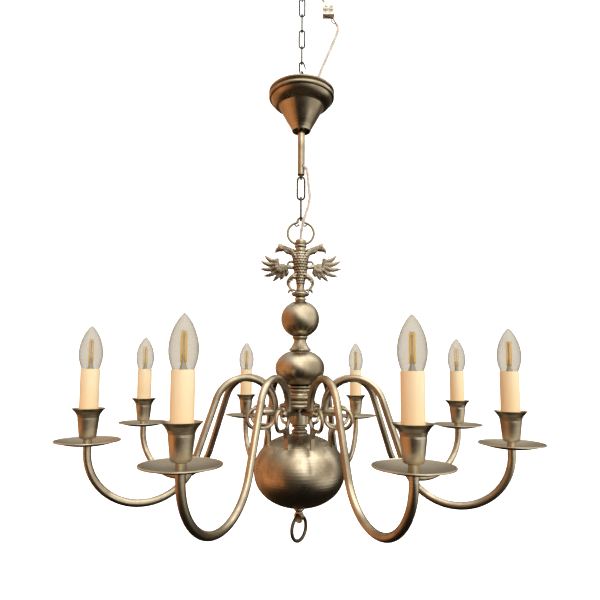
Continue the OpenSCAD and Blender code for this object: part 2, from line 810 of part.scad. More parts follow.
module hub_disc() {
    h = hub_disc_h;
    color(brass)
        translate([0, 0, barrel_top_z])
            difference() {
                turned(concat([[0, 0], [hub_disc_r - 2, 0]],
                              arc_points(hub_disc_r - h / 2, h / 2, h / 2, -60, 60, 8),
                              [[hub_disc_r - 2, h], [0, h]]));
                translate([0, 0, -1]) cylinder(h = h + 2, r = bore_r, $fn = round_fn);
            }
}

module hub_barrel() {
    color(brass)
        difference() {
            translate([0, 0, lower_neck_top_z]) cylinder(h = hub_barrel_h, r = hub_barrel_r, $fn = wide_fn);
            translate([0, 0, lower_neck_top_z - 1]) cylinder(h = hub_barrel_h + 2, r = bore_r, $fn = round_fn);
            around_arms() translate([hub_barrel_r - peg_seat, 0, peg_z]) rotate([0, 90, 0])
                cylinder(h = peg_seat + 2, d = peg_d, $fn = fine);
        }
}

module lower_neck() {
    h = lower_neck_h;
    r = lower_neck_r;
    color(brass)
        translate([0, 0, large_top_z])
            difference() {
                turned(concat([[0, 0], [r + 2, 0], [r + 2, h * 0.12]],
                              arc_points(r - 1, h * 0.3, h * 0.13, -70, 70, 6),
                              [[r - 3, h * 0.5], [r - 3, h * 0.58]],
                              arc_points(r - 1.5, h * 0.72, h * 0.11, -70, 70, 6),
                              [[r + 3, h * 0.88], [r + 3, h], [0, h]]));
                translate([0, 0, -1]) cylinder(h = h + 2, r = bore_r, $fn = round_fn);
            }
}

module large_ball() {
    color(brass)
        difference() {
            translate([0, 0, large_top_z - large_ball_h / 2]) spun_ball(large_ball_r, large_ball_h, 2.12);
            around_arms()
                translate([strap_x - strap_t / 2 - slot_clear, -strap_w / 2 - slot_clear, large_top_z - 40])
                    cube([strap_t + 2 * slot_clear, strap_w + 2 * slot_clear, 40]);
        }
}

// Connector block inside the large ball
module wire_block() {
    color(white_plastic)
        difference() {
            translate([0, 0, large_top_z - large_ball_h * 0.62]) cylinder(h = 22, r = 26, $fn = round_fn);
            translate([0, 0, large_top_z - large_ball_h * 0.62 - 1]) cylinder(h = 24, r = bore_r, $fn = round_fn);
        }
}

module bottom_collar() {
    h = bottom_collar_h;
    color(brass)
        translate([0, 0, eye_top_z])
            difference() {
                turned(concat([[0, 0], [6, 0]], arc_points(5.5, h * 0.45, h * 0.4, -60, 60, 8),
                              [[8, h * 0.85], [13, h], [0, h]]), round_fn);
                translate([0, 0, rod_thread_in]) cylinder(h = h, r = bore_r, $fn = round_fn);
                translate([0, 0, -1]) cylinder(h = h, r = 3, $fn = fine);
            }
}

module ring_eye() {
    color(brass)
        difference() {
            rotate([0, 0, ring_turn])
                intersection() {
                    union() {
                        translate([0, 0, eye_top_z]) mirror([0, 0, 1]) cylinder(h = 8, r1 = 6, r2 = 7.4, $fn = round_fn);
                        translate([0, 0, eye_hole_z]) rotate([0, 90, 0])
                            translate([0, 0, -eye_t]) cylinder(h = 2 * eye_t, r = eye_r, $fn = round_fn);
                        translate([0, 0, eye_hole_z - 5.5]) sphere(r = 6.8, $fn = round_fn);
                    }
                    translate([-eye_t / 2, -eye_r - 1, eye_hole_z - 20]) cube([eye_t, 2 * eye_r + 2, 40]);
                }
            translate([0, 0, eye_hole_z]) rotate([0, 0, ring_turn]) rotate([0, 90, 0])
                translate([0, 0, -eye_t]) cylinder(h = 2 * eye_t, r = eye_hole_r, $fn = round_fn);
        }
    color(brass) translate([0, 0, eye_top_z]) cylinder(h = rod_thread_in - 0.5, r = 3, $fn = fine);
}

module pull_ring() {
    color(brass)
        translate([0, 0, eye_hole_z - ring_c_r]) rotate([0, 0, ring_turn])
            rotate([90, 0, 0]) rotate_extrude($fn = wide_fn) translate([ring_c_r, 0])
                circle(r = ring_wire_r, $fn = fine);
}

// ---- Arms ----

// A soldered seam around the tube, half in its wall, across a place where two parts of it meet
module arm_seam() {
    translate([0, 0, -seam_l / 2])
        difference() {
            cylinder(h = seam_l, r = arm_r + seam_t, $fn = fine);
            translate([0, 0, -1]) cylinder(h = seam_l + 2, r = arm_r - arm_wall / 2, $fn = fine);
        }
}

// Riser, sweep, straight part and arch of the tube, with a seam where they meet
module arm_run() {
    bore = arm_r - arm_wall;
    touch = [arch_x + arch_bend_r * cos(tangent_turn), arch_z + arch_bend_r * sin(tangent_turn)];
    translate([arm_reach, 0, sweep_z + seam_gap])
        difference() {
            cylinder(h = pan_rise - seam_gap, r = arm_r, $fn = fine);
            translate([0, 0, -1]) cylinder(h = pan_rise + 2, r = bore, $fn = fine);
        }
    translate([sweep_x, 0, sweep_z])
        bar_arc(sweep_bend_r, arm_r, tangent_turn + 180, 180 - tangent_turn, bore, wide_fn);
    translate([touch[0], 0, touch[1]]) rotate([0, 180 - tangent_turn, 0])
        translate([0, 0, seam_gap]) difference() {
            cylinder(h = straight_l - 2 * seam_gap, r = arm_r, $fn = fine);
            translate([0, 0, -1]) cylinder(h = straight_l + 2, r = bore, $fn = fine);
        }
    translate([arch_x, 0, arch_z])
        bar_arc(arch_bend_r, arm_r, tangent_turn, 180 - tangent_turn, bore, wide_fn);
    translate([arm_reach, 0, sweep_z]) arm_seam();
    translate([arm_root_r, 0, arch_z]) arm_seam();
    translate([touch[0], 0, touch[1]]) rotate([0, 180 - tangent_turn, 0]) {
        arm_seam();
        translate([0, 0, straight_l]) arm_seam();
    }
}

// One arm in the XZ plane, with its peg, scroll and strap
module arm_shape() {
    arm_run();
    translate([arm_root_r, 0, peg_z]) cylinder(h = arch_z - peg_z - seam_gap, r = arm_r, $fn = fine);
    // Peg from the hub out to its rounded end
    translate([hub_barrel_r - peg_seat, 0, peg_z]) rotate([0, 90, 0])
        cylinder(h = peg_end_r - hub_barrel_r + peg_seat, d = peg_d, $fn = fine);
    translate([peg_end_r, 0, peg_z]) sphere(d = peg_d, $fn = fine);
}

// The C-scroll under the arm and the strap that hooks into the large ball
module arm_scroll() {
    wire = scroll_wire_r;
    translate([scroll_x + scroll_half, 0, scroll_z]) bar_arc(scroll_r, wire, -90, 180);
    translate([scroll_x - scroll_half, 0, scroll_z]) bar_arc(scroll_r, wire, 150, 120);
    translate([scroll_x - scroll_half, 0, scroll_z - scroll_r]) rotate([0, 90, 0])
        cylinder(h = 2 * scroll_half, r = wire, $fn = fine);
    translate([scroll_x + scroll_half, 0, scroll_z + scroll_r]) rotate([0, -90, 0])
        cylinder(h = 8, r = wire, $fn = fine);
    translate([scroll_x + scroll_half - 8, 0, scroll_z + scroll_r]) sphere(r = knob_r, $fn = fine);
}

// Outline of the strap: out of the scroll's underside, down, and hooked into the ball
module arm_strap() {
    top_z = scroll_z - scroll_r;
    rotate([90, 0, 0]) translate([0, 0, -strap_w / 2]) linear_extrude(strap_w)
        polygon([[scroll_x - 8, top_z], [scroll_x - 3, top_z], [strap_x + strap_t / 2 + 2, top_z - 7],
                 [strap_x + strap_t / 2, top_z - 14], [strap_x + strap_t / 2, peg_z - strap_drop],
                 [strap_x - strap_t / 2, peg_z - strap_drop], [strap_x - strap_t / 2, top_z - 13],
                 [strap_x + 0.6, top_z - 5]]);
}

module arm(i) {
    color(brass)
        rotate([0, 0, arm_angle(i)]) {
            arm_shape();
            arm_scroll();
            arm_strap();
        }
}

// ---- Candles ----

module arm_nipples() {
    color(brass)
        around_arms()
            translate([arm_reach, 0, pan_z])
                difference() {
                    union() {
                        translate([0, 0, -nipple_in]) cylinder(h = nipple_in, r = arm_r - arm_wall, $fn = fine);
                        cylinder(h = pan_t, r = nipple_r - 0.6, $fn = fine);
                        translate([0, 0, pan_t]) cylinder(h = stem_h, r = stem_r, $fn = fine);
                        cylinder(h = holder_z - pan_z, r = nipple_r - 0.6, $fn = fine);
                    }
                    translate([0, 0, -11]) cylinder(h = holder_z - pan_z + 12, r = 3, $fn = fine);
                }
}

module drip_pans() {
    r = pan_d / 2;
    color(brass)
        around_arms()
            translate([arm_reach, 0, pan_z])
                turned(concat([[nipple_r - 0.4, 0], [16, 0]],
                              [for (i = [1:6]) let(s = i / 6) [16 + (r - 18) * s, (pan_rim_h - 1) * pow(s, 1.6)]],
                              [[r - 0.5, pan_rim_h - 1.1], [r, pan_rim_h - 0.3], [r - 0.2, pan_rim_h + 0.7],
                               [r - 1.4, pan_rim_h + 1]],
                              [for (i = [6:-1:1]) let(s = i / 6)
                                  [16 + (r - 18) * s - 0.3, pan_t + (pan_rim_h - 1) * pow(s, 1.6)]],
                              [[16, pan_t], [nipple_r - 0.4, pan_t]]));
}

// Outline of the cup's outside
function cup_outline(inset) = let(h = cup_h, rim = cup_rim_d / 2, waist = cup_waist_r) [
    [nipple_r - 0.4, inset], [8, inset], [waist - 4 - inset, 1.4 + inset], [waist - 2.7 - inset, 4.6],
    [waist - 1.7 - inset, 14], [waist - inset, cup_seat], [waist - inset, cup_seat + 2.5],
    [waist + 1.6 - inset, h - 9], [waist + 4.6 - inset, h - 4.5],
    [rim - 1.4 - inset / 2, h - 1.4 + (inset > 0 ? 1 : 0)], [rim - inset, h + (inset > 0 ? 1 : 0)]
];
module candle_cups() {
    outer = cup_outline(0);
    inner = cup_outline(cup_wall);
    color(brass)
        around_arms()
            translate([arm_reach, 0, cup_z])
                rotate_extrude($fn = round_fn)
                    difference() {
                        polygon(concat(outer, [[nipple_r - 0.4, cup_h]]));
                        polygon(concat(inner, [[0, cup_h + 1], [0, cup_wall]]));
                    }
}

module candle_sleeves() {
    color(candle_cream)
        around_arms()
            translate([arm_reach, 0, sleeve_z])
                difference() {
                    cylinder(h = sleeve_l, d = sleeve_d, $fn = round_fn);
                    translate([0, 0, -1]) cylinder(h = sleeve_l + 2, r = sleeve_d / 2 - sleeve_wall, $fn = round_fn);
                }
}

module lampholders() {
    color(white_plastic)
        around_arms()
            translate([arm_reach, 0, holder_z])
                difference() {
                    cylinder(h = holder_h, r = holder_r, $fn = round_fn);
                    translate([0, 0, holder_h - cap_l - 4]) cylinder(h = cap_l + 5, r = cap_r + cap_play, $fn = round_fn);
                }
}

// Outline of the bulb's glass above its neck, drawn in by the glass's thickness for its inside
function glass_outline(inset) = let(r = bulb_r - inset, neck = glass_neck_r - inset, h = bulb_h - inset) concat(
    [[neck, 0.4], [neck + 0.7, 2]],
    [for (i = [1:9]) let(s = i / 9) [neck + 0.7 + (r - neck - 0.7) * sin(90 * s), 2 + bulb_h * 0.27 * s]],
    [for (i = [1:11]) let(s = i / 12)
        [r * pow(cos(90 * s), 0.86), 2 + bulb_h * 0.27 + (h - bulb_h * 0.27 - 2) * pow(s, 1.1)]],
    [[0, h]]
);

module bulb(i) {
    cap_z = holder_z + holder_h - cap_l - 2 - sleeve_top_z;
    glass_z = holder_z + holder_h + 0.6 - sleeve_top_z;
    color(glass_tint)
        rotate([0, 0, arm_angle(i)])
            translate([arm_reach, 0, sleeve_top_z])
                rotate_extrude($fn = round_fn)
                    difference() {
                        polygon(concat([[0, cap_z], [cap_r - 2, cap_z], [cap_r, cap_z + 3], [cap_r, glass_z],
                                        [cap_r + 1.5, glass_z]], glass_outline(0)));
                        polygon(concat([[0, glass_z + 2], [cap_r + 1, glass_z + 2]], glass_outline(glass_t)));
                    }
}

ceiling_plate();
ceiling_hook();
cable_bush();
chain_link_top();
terminal_block();
feed_cord();
chain_links();
chain_hook();
rod_loop();
down_rod();
rod_eye();
supply_cord();
canopy();
canopy_collar();
canopy_screw();
lower_link_1();
lower_cord_1();
lower_link_2();
lower_cord_2();
lower_cord_3();
cord_cup();
lyre_loop();
neck_collar();
tie_rod();
eagle_body();
eagle_wings();
dish_collar();
small_ball();
upper_neck();
medium_ball();
ring_stack();
hub_disc();
hub_barrel();
lower_neck();
large_ball();
wire_block();
bottom_collar();
ring_eye();
pull_ring();
arm(0);  // arm_1
arm(1);  // arm_2
arm(2);  // arm_3
arm(3);  // arm_4
arm(4);  // arm_5
arm(5);  // arm_6
arm(6);  // arm_7
arm(7);  // arm_8
arm_nipples();
drip_pans();
candle_cups();
candle_sleeves();
bulb(0);  // bulb_1
bulb(1);  // bulb_2
bulb(2);  // bulb_3
bulb(3);  // bulb_4
bulb(4);  // bulb_5
bulb(5);  // bulb_6
bulb(6);  // bulb_7
bulb(7);  // bulb_8
lampholders();
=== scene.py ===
"""Looks for a hanging brass chandelier with eight candle arms, laid out as an add-on and run as a script."""

import math

import bmesh
import bpy
from bpy.props import FloatProperty, FloatVectorProperty, IntProperty, PointerProperty
from mathutils import Matrix, Vector


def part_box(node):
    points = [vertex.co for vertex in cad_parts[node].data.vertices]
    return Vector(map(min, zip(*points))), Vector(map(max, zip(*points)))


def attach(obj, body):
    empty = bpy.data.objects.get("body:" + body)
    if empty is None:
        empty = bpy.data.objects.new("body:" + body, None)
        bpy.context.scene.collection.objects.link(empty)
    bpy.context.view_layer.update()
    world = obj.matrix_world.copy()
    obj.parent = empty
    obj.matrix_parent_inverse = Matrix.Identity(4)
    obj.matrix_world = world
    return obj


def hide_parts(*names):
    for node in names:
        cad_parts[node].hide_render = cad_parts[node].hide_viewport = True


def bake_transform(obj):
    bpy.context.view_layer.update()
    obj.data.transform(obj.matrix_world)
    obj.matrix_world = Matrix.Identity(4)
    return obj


bl_info = {
    "name": "Eight Arm Chandelier",
    "version": (1, 0, 0),
    "blender": (4, 5, 0),
    "location": "3D View > Sidebar > Chandelier",
    "description": "Finishes, cords, eagle, bulbs and stage for a brass chandelier",
    "category": "Object",
}

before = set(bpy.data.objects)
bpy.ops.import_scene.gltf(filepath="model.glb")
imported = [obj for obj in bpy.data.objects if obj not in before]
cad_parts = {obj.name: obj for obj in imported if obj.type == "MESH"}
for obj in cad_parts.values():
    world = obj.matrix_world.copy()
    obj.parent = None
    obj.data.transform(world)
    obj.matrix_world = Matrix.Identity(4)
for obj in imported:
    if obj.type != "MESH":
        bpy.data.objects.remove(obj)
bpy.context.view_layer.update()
MM = 0.001


def middle(node):
    low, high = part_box(node)
    return (low + high) / 2


def top(node):
    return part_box(node)[1].z


def bottom(node):
    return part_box(node)[0].z


ARM_COUNT = sum(1 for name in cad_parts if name.startswith("arm_") and name[4:].isdigit())
ARM_REACH = Vector(middle("bulb_1")[:2]).length
SLEEVE_TOP = top("candle_sleeves")
EAGLE_BASE = top("dish_collar")
EAGLE_TOP = bottom("neck_collar")


# ---- Sizes and colours ----


class StageSettings(bpy.types.PropertyGroup):
    camera_distance: FloatProperty(
        name="Camera distance", description="From the column to the camera", default=0.8985, unit="LENGTH"
    )
    camera_height: FloatProperty(
        name="Camera height", description="Camera against the ceiling plate", default=-0.770, unit="LENGTH"
    )
    camera_side: FloatProperty(
        name="Camera side", description="Turn of the camera round the column", default=math.radians(0.46),
        subtype="ANGLE",
    )
    camera_pitch: FloatProperty(
        name="Camera pitch", description="Upward tilt of the camera", default=math.radians(5), subtype="ANGLE"
    )
    camera_roll: FloatProperty(
        name="Camera roll", description="Roll of the camera", default=math.radians(0.35), subtype="ANGLE"
    )
    lens: FloatProperty(name="Lens", description="Focal length in millimetres", default=30.15)
    floor_drop: FloatProperty(
        name="Floor", description="Floor below the ceiling plate", default=2.4, unit="LENGTH"
    )
    floor_colour: FloatVectorProperty(
        name="Floor colour", description="Pale floor and backdrop", default=(0.9, 0.9, 0.9), subtype="COLOR"
    )


class BrassSettings(bpy.types.PropertyGroup):
    light: FloatVectorProperty(
        name="Light brass", description="Rubbed brass", default=(0.46, 0.40, 0.30), subtype="COLOR"
    )
    dark: FloatVectorProperty(
        name="Dark brass", description="Brown patina", default=(0.25, 0.20, 0.135), subtype="COLOR"
    )
    bronze: FloatVectorProperty(
        name="Bronze", description="Dark bronze of links and ring", default=(0.075, 0.060, 0.042), subtype="COLOR"
    )
    black: FloatVectorProperty(
        name="Chain black", description="Blackened steel", default=(0.025, 0.024, 0.023), subtype="COLOR"
    )


class CordSettings(bpy.types.PropertyGroup):
    diameter: FloatProperty(name="Cord", description="Outside of the clear cord", default=0.006, unit="LENGTH")
    feed_diameter: FloatProperty(name="Feed", description="Outside of the feed cord", default=0.0052, unit="LENGTH")
    core_diameter: FloatProperty(name="Core", description="One insulated core", default=0.0021, unit="LENGTH")
    sheath: FloatVectorProperty(
        name="Sheath", description="Clear sheath", default=(0.86, 0.83, 0.81), subtype="COLOR"
    )


class CandleSettings(bpy.types.PropertyGroup):
    sleeve: FloatVectorProperty(
        name="Sleeve", description="Candle sleeve", default=(0.88, 0.70, 0.47), subtype="COLOR"
    )
    glass: FloatVectorProperty(
        name="Glass", description="Tint of the bulb glass", default=(0.64, 0.62, 0.58), subtype="COLOR"
    )
    filament: FloatVectorProperty(
        name="Filament", description="Coated light strips", default=(0.95, 0.62, 0.14), subtype="COLOR"
    )
    filaments: IntProperty(name="Filaments", description="Light strips in a bulb", default=4, min=1, max=8)


class EagleSettings(bpy.types.PropertyGroup):
    grain: FloatProperty(name="Grain", description="Mesh cell of the casting", default=0.00072, unit="LENGTH")
    relief: FloatProperty(name="Relief", description="Depth of the feather scales", default=0.0011, unit="LENGTH")


SETTINGS = {
    "chandelier_stage": StageSettings,
    "chandelier_brass": BrassSettings,
    "chandelier_cords": CordSettings,
    "chandelier_candles": CandleSettings,
    "chandelier_eagle": EagleSettings,
}


# ---- Shader wiring ----


class Wire:
    """A number socket: Python's operators add the Math nodes that work on it."""

    def __init__(self, board, socket):
        self.board = board
        self.socket = socket

    def math(self, operation, *others):
        node = self.board.node("ShaderNodeMath", {"operation": operation}, dict(enumerate((self, *others))))
        return Wire(self.board, node.outputs[0])

    def __add__(self, other):
        return self.math("ADD", other)

    def __radd__(self, other):
        return self.math("ADD", other)

    def __sub__(self, other):
        return self.math("SUBTRACT", other)

    def __rsub__(self, other):
        return (self * -1) + other

    def __mul__(self, other):
        return self.math("MULTIPLY", other)

    def __rmul__(self, other):
        return self.math("MULTIPLY", other)

    def __truediv__(self, other):
        return self.math("DIVIDE", other)

    def __pow__(self, other):
        return self.math("POWER", other)


class Board:
    """The node tree of one finish or of the world."""

    def __init__(self, tree):
        self.tree = tree
        tree.nodes.clear()

    def node(self, kind, settings=None, sockets=None):
        made = self.tree.nodes.new(kind)
        for name, value in (settings or {}).items():
            if name == "stops":
                ramp = made.color_ramp.elements
                while len(ramp) < len(value):
                    ramp.new(0.5)
                for stop, (place, colour) in zip(ramp, value):
                    stop.position = place
                    stop.color = (*colour, 1.0)
            else:
                setattr(made, name, value)
        for name, value in (sockets or {}).items():
            socket = made.inputs[name]
            if isinstance(value, Wire):
                value = value.socket
            if isinstance(value, bpy.types.NodeSocket):
                self.tree.links.new(value, socket)
            elif socket.type == "RGBA" and len(value) == 3:
                socket.default_value = (*value, 1.0)
            else:
                socket.default_value = value
        return made

    def wire(self, socket):
        return Wire(self, socket)

    def place(self):
        """X, Y and Z in metres, in the chandelier's own frame."""
        spot = self.node("ShaderNodeTexCoord").outputs["Object"]
        parts = self.node("ShaderNodeSeparateXYZ", None, {0: spot}).outputs
        return spot, [self.wire(parts[i]) for i in range(3)]

    def vector(self, x, y, z):
        return self.node("ShaderNodeCombineXYZ", None, {0: x, 1: y, 2: z}).outputs[0]

    def noise(self, where, scale, detail=3.0, roughness=0.55):
        made = self.node(
            "ShaderNodeTexNoise", None, {"Vector": where, "Scale": scale, "Detail": detail, "Roughness": roughness}
        )
        return self.wire(made.outputs["Fac"])

    def span(self, value, low, high, to_low=0.0, to_high=1.0):
        made = self.node(
            "ShaderNodeMapRange",
            {"interpolation_type": "SMOOTHSTEP"},
            {"Value": value, "From Min": low, "From Max": high, "To Min": to_low, "To Max": to_high},
        )
        return self.wire(made.outputs["Result"])

    def blend(self, mask, first, second, kind="MIX"):
        made = self.node("ShaderNodeMix", {"data_type": "RGBA", "blend_type": kind}, {0: mask, 6: first, 7: second})
        return made.outputs[2]

    def bump(self, height, strength, distance):
        made = self.node("ShaderNodeBump", None, {"Height": height, "Strength": strength, "Distance": distance})
        return made.outputs["Normal"]

    def finish(self, **sockets):
        names = {name.replace("_", " "): value for name, value in sockets.items()}
        shader = self.node("ShaderNodeBsdfPrincipled", None, names)
        self.node("ShaderNodeOutputMaterial", None, {"Surface": shader.outputs[0]})


def board_for(name):
    material = bpy.data.materials.new(name)
    material.use_nodes = True
    return material, Board(material.node_tree)


def kept(maker):
    """A finish is made once and shared."""
    made = {}

    def get(*args):
        if args not in made:
            made[args] = maker(*args)
        return made[args]

    return get


# ---- Metal finishes ----


def patina(b, spot, light, dark, amount):
    """Colour of satin brass: rubbed light where handled, browner in drifting clouds, with fine dark specks."""
    clouds = b.span(b.noise(spot, 26.0, 3.0), 0.34, 0.68)
    fine = b.noise(spot, 420.0, 3.0)
    mask = clouds * 0.44 + fine * 0.26 + 0.12 - amount
    tone = b.blend(b.span(mask, 0.05, 0.75), dark, light)
    specks = b.span(b.noise(spot, 1500.0, 2.0), 0.62, 0.78)
    return b.blend(specks * 0.16, tone, tuple(c * 0.45 for c in dark)), clouds


@kept
def turned_brass(name, amount):
    """Lathe-turned brass: fine rings round the column over a cloudy satin patina."""
    tones = bpy.context.scene.chandelier_brass
    material, b = board_for(name)
    spot, (x, y, z) = b.place()
    radius = (x * x + y * y).math("SQRT")
    rings = b.noise(b.vector(radius * 1.0, z * 1.0, 0.0), 2600.0, 2.0)
    broad = b.noise(b.vector(radius * 1.0, z * 1.0, 0.0), 330.0, 2.0)
    colour, clouds = patina(b, spot, tuple(tones.light), tuple(tones.dark), amount)
    colour = b.blend(b.span(broad, 0.42, 0.62, 0.0, 0.16), colour, tuple(tones.dark))
    b.finish(
        Base_Color=colour,
        Metallic=1.0,
        Roughness=b.span(clouds * 0.5 + rings * 0.5, 0.2, 0.8, 0.37, 0.25),
        Normal=b.bump(rings * 0.7 + broad * 0.5, 0.22, 0.00012),
        Coat_Weight=0.12,
        Coat_Roughness=0.25,
    )
    return material


@kept
def tube_brass(name, amount):
    """Bent brass tube: cloudy satin patina with small dents and rub marks."""
    tones = bpy.context.scene.chandelier_brass
    material, b = board_for(name)
    spot, (x, y, z) = b.place()
    colour, clouds = patina(b, spot, tuple(tones.light), tuple(tones.dark), amount)
    rub = b.noise(b.vector(x * 0.35, y * 0.35, z), 900.0, 3.0)
    b.finish(
        Base_Color=colour,
        Metallic=1.0,
        Roughness=b.span(clouds * 0.4 + rub * 0.6, 0.25, 0.75, 0.38, 0.26),
        Normal=b.bump(rub, 0.22, 0.00012),
        Coat_Weight=0.12,
        Coat_Roughness=0.22,
    )
    return material


@kept
def spun_brass(name):
    """Spun brass of pans and cups: rings round each candle, with painted light on faces that look up, such as the
    inside of the pan, painted shade on faces that look down and a painted highlight on the rim's lip.
    """
    tones = bpy.context.scene.chandelier_brass
    material, b = board_for(name)
    spot, (x, y, z) = b.place()
    step = 2 * math.pi / ARM_COUNT
    first = math.atan2(middle("bulb_1").y, middle("bulb_1").x)
    turn = y.math("ARCTAN2", x) - first
    turn = turn - (turn / step).math("ROUND") * step
    reach = (x * x + y * y).math("SQRT")
    along = reach * turn.math("COSINE") - ARM_REACH
    across = reach * turn.math("SINE")
    radius = (along * along + across * across).math("SQRT")
    rings = b.noise(b.vector(radius, z * 0.6, 0.0), 2400.0, 2.0)
    colour, clouds = patina(b, spot, tuple(tones.light), tuple(tones.dark), -0.02)
    facing = b.node("ShaderNodeNewGeometry").outputs["Normal"]
    up = b.wire(b.node("ShaderNodeSeparateXYZ", None, {0: facing}).outputs[2])
    # Painted highlight: lip marks the upward faces of the rim's outer lip, which are lightened past the light brass
    # below.
    lip = b.span(radius, 0.0458, 0.0468) * b.span(up, 0.05, 0.4)
    # Painted light: faces that look up, such as the inside of the pan, are lightened towards the light brass.
    colour = b.blend(b.span(up, 0.15, 0.7, 0.0, 0.35), colour, tuple(tones.light))
    # Painted shade: faces that look down, such as the undersides of the flared rims, are darkened nearly to black.
    colour = b.blend(b.span(up, -0.25, -0.75, 0.0, 0.9), colour, tuple(c * 0.28 for c in tones.dark))
    colour = b.blend(lip, colour, tuple(min(1.0, c * 1.5) for c in tones.light))
    b.finish(
        Base_Color=colour,
        Metallic=1.0,
        Roughness=b.span(clouds * 0.4 + rings * 0.6, 0.2, 0.8, 0.42, 0.28),
        Normal=b.bump(rings, 0.30, 0.00012),
        Coat_Weight=0.1,
        Coat_Roughness=0.25,
    )
    return material


@kept
def cast_brass(name):
    """Cast brass of the eagle: bright on the raised feathers, brown in the hollows."""
    tones = bpy.context.scene.chandelier_brass
    material, b = board_for(name)
    spot, _ = b.place()
    raised = b.wire(b.node("ShaderNodeAttribute", {"attribute_name": "raised"}).outputs["Fac"])
    colour, clouds = patina(b, spot, tuple(tones.light), tuple(tones.dark), 0.0)
    hollow = tuple(c * 0.20 for c in tones.dark)
    colour = b.blend(b.span(raised, 0.26, 0.74), hollow, colour)
    pits = b.noise(spot, 1300.0, 3.0)
    b.finish(
        Base_Color=colour,
        Metallic=1.0,
        Roughness=b.span(raised * 0.6 + clouds * 0.4, 0.15, 0.9, 0.50, 0.29),
        Normal=b.bump(pits, 0.35, 0.00018),
    )
    return material


@kept
def dark_metal(name, which):
    """Blackened or bronzed steel wire: dull with rubbed high spots."""
    tones = bpy.context.scene.chandelier_brass
    tone = tuple(getattr(tones, which))
    material, b = board_for(name)
    spot, _ = b.place()
    wear = b.span(b.noise(spot, 260.0, 4.0), 0.48, 0.70)
    grain = b.noise(spot, 1800.0, 2.0)
    lifted = tuple(min(1.0, c * 2.6 + 0.02) for c in tone)
    b.finish(
        Base_Color=b.blend(wear * 0.6, tone, lifted),
        Metallic=0.9,
        Roughness=b.span(wear * 0.5 + grain * 0.5, 0.2, 0.8, 0.46, 0.30),
        Normal=b.bump(grain, 0.25, 0.00012),
    )
    return material


@kept
def plated_steel(name):
    """Bright plated wire of the rod's loop."""
    material, b = board_for(name)
    spot, _ = b.place()
    haze = b.noise(spot, 500.0, 4.0)
    b.finish(
        Base_Color=b.blend(b.span(haze, 0.4, 0.7), (0.62, 0.61, 0.58), (0.44, 0.43, 0.41)),
        Metallic=1.0,
        Roughness=b.span(haze, 0.3, 0.7, 0.24, 0.38),
        Normal=b.bump(haze, 0.15, 0.0001),
    )
    return material


# ---- Other finishes ----


@kept
def moulded_plastic(name, colour, shine, through):
    """Moulded plastic: faint orange-peel surface and slight yellowing."""
    material, b = board_for(name)
    spot, _ = b.place()
    peel = b.noise(spot, 1400.0, 2.0)
    age = b.span(b.noise(spot, 45.0, 3.0), 0.35, 0.7)
    aged = tuple(c * k for c, k in zip(colour, (0.97, 0.93, 0.86)))
    b.finish(
        Base_Color=b.blend(age * 0.6, colour, aged),
        Roughness=b.span(peel, 0.3, 0.7, shine, shine + 0.12),
        Normal=b.bump(peel, 0.12, 0.00012),
        Subsurface_Weight=through,
        Subsurface_Radius=(0.004, 0.002, 0.001),
        Subsurface_Scale=1.0,
    )
    return material


@kept
def candle_cream(name):
    """Candle sleeves: waxy cream plastic, deeper towards the cup, with faint drawn streaks."""
    settings = bpy.context.scene.chandelier_candles
    material, b = board_for(name)
    _, (x, y, z) = b.place()
    streaks = b.noise(b.vector(x, y, z * 0.06), 700.0, 3.0)
    height = b.span(z, bottom("candle_sleeves"), SLEEVE_TOP)
    tone = tuple(settings.sleeve)
    deep = tuple(c * k for c, k in zip(tone, (0.93, 0.84, 0.74)))
    colour = b.blend(height, deep, tone)
    colour = b.blend(b.span(streaks, 0.4, 0.65, 0.0, 0.22), colour, deep)
    b.finish(
        Base_Color=colour,
        Roughness=b.span(streaks, 0.3, 0.7, 0.36, 0.50),
        Normal=b.bump(streaks, 0.10, 0.00015),
        Subsurface_Weight=0.15,
        Subsurface_Radius=(0.006, 0.003, 0.0015),
        Subsurface_Scale=1.0,
        Coat_Weight=0.1,
    )
    return material


@kept
def clear_sheath(name):
    """Clear soft plastic over the cores of the cord."""
    tone = tuple(bpy.context.scene.chandelier_cords.sheath)
    material, b = board_for(name)
    spot, _ = b.place()
    ripple = b.noise(spot, 260.0, 2.0)
    edge = b.wire(b.node("ShaderNodeLayerWeight", None, {"Blend": 0.35}).outputs["Facing"])
    # Painted shade: the sheath's colour darkens towards its grazing edges, drawing a dark outline; the same edge weight
    # also makes the edges less see-through.
    b.finish(
        Base_Color=b.blend(
            b.span(edge, 0.35, 0.80), b.blend(b.span(ripple, 0.35, 0.7, 0.0, 0.5), tone, tuple(c * 0.82 for c in tone)),
            tuple(c * 0.30 for c in tone),
        ),
        Roughness=b.span(ripple, 0.3, 0.7, 0.16, 0.28),
        Alpha=b.span(edge, 0.0, 0.8, 0.38, 0.92),
        Normal=b.bump(ripple, 0.12, 0.0002),
        Specular_IOR_Level=0.6,
    )
    return material


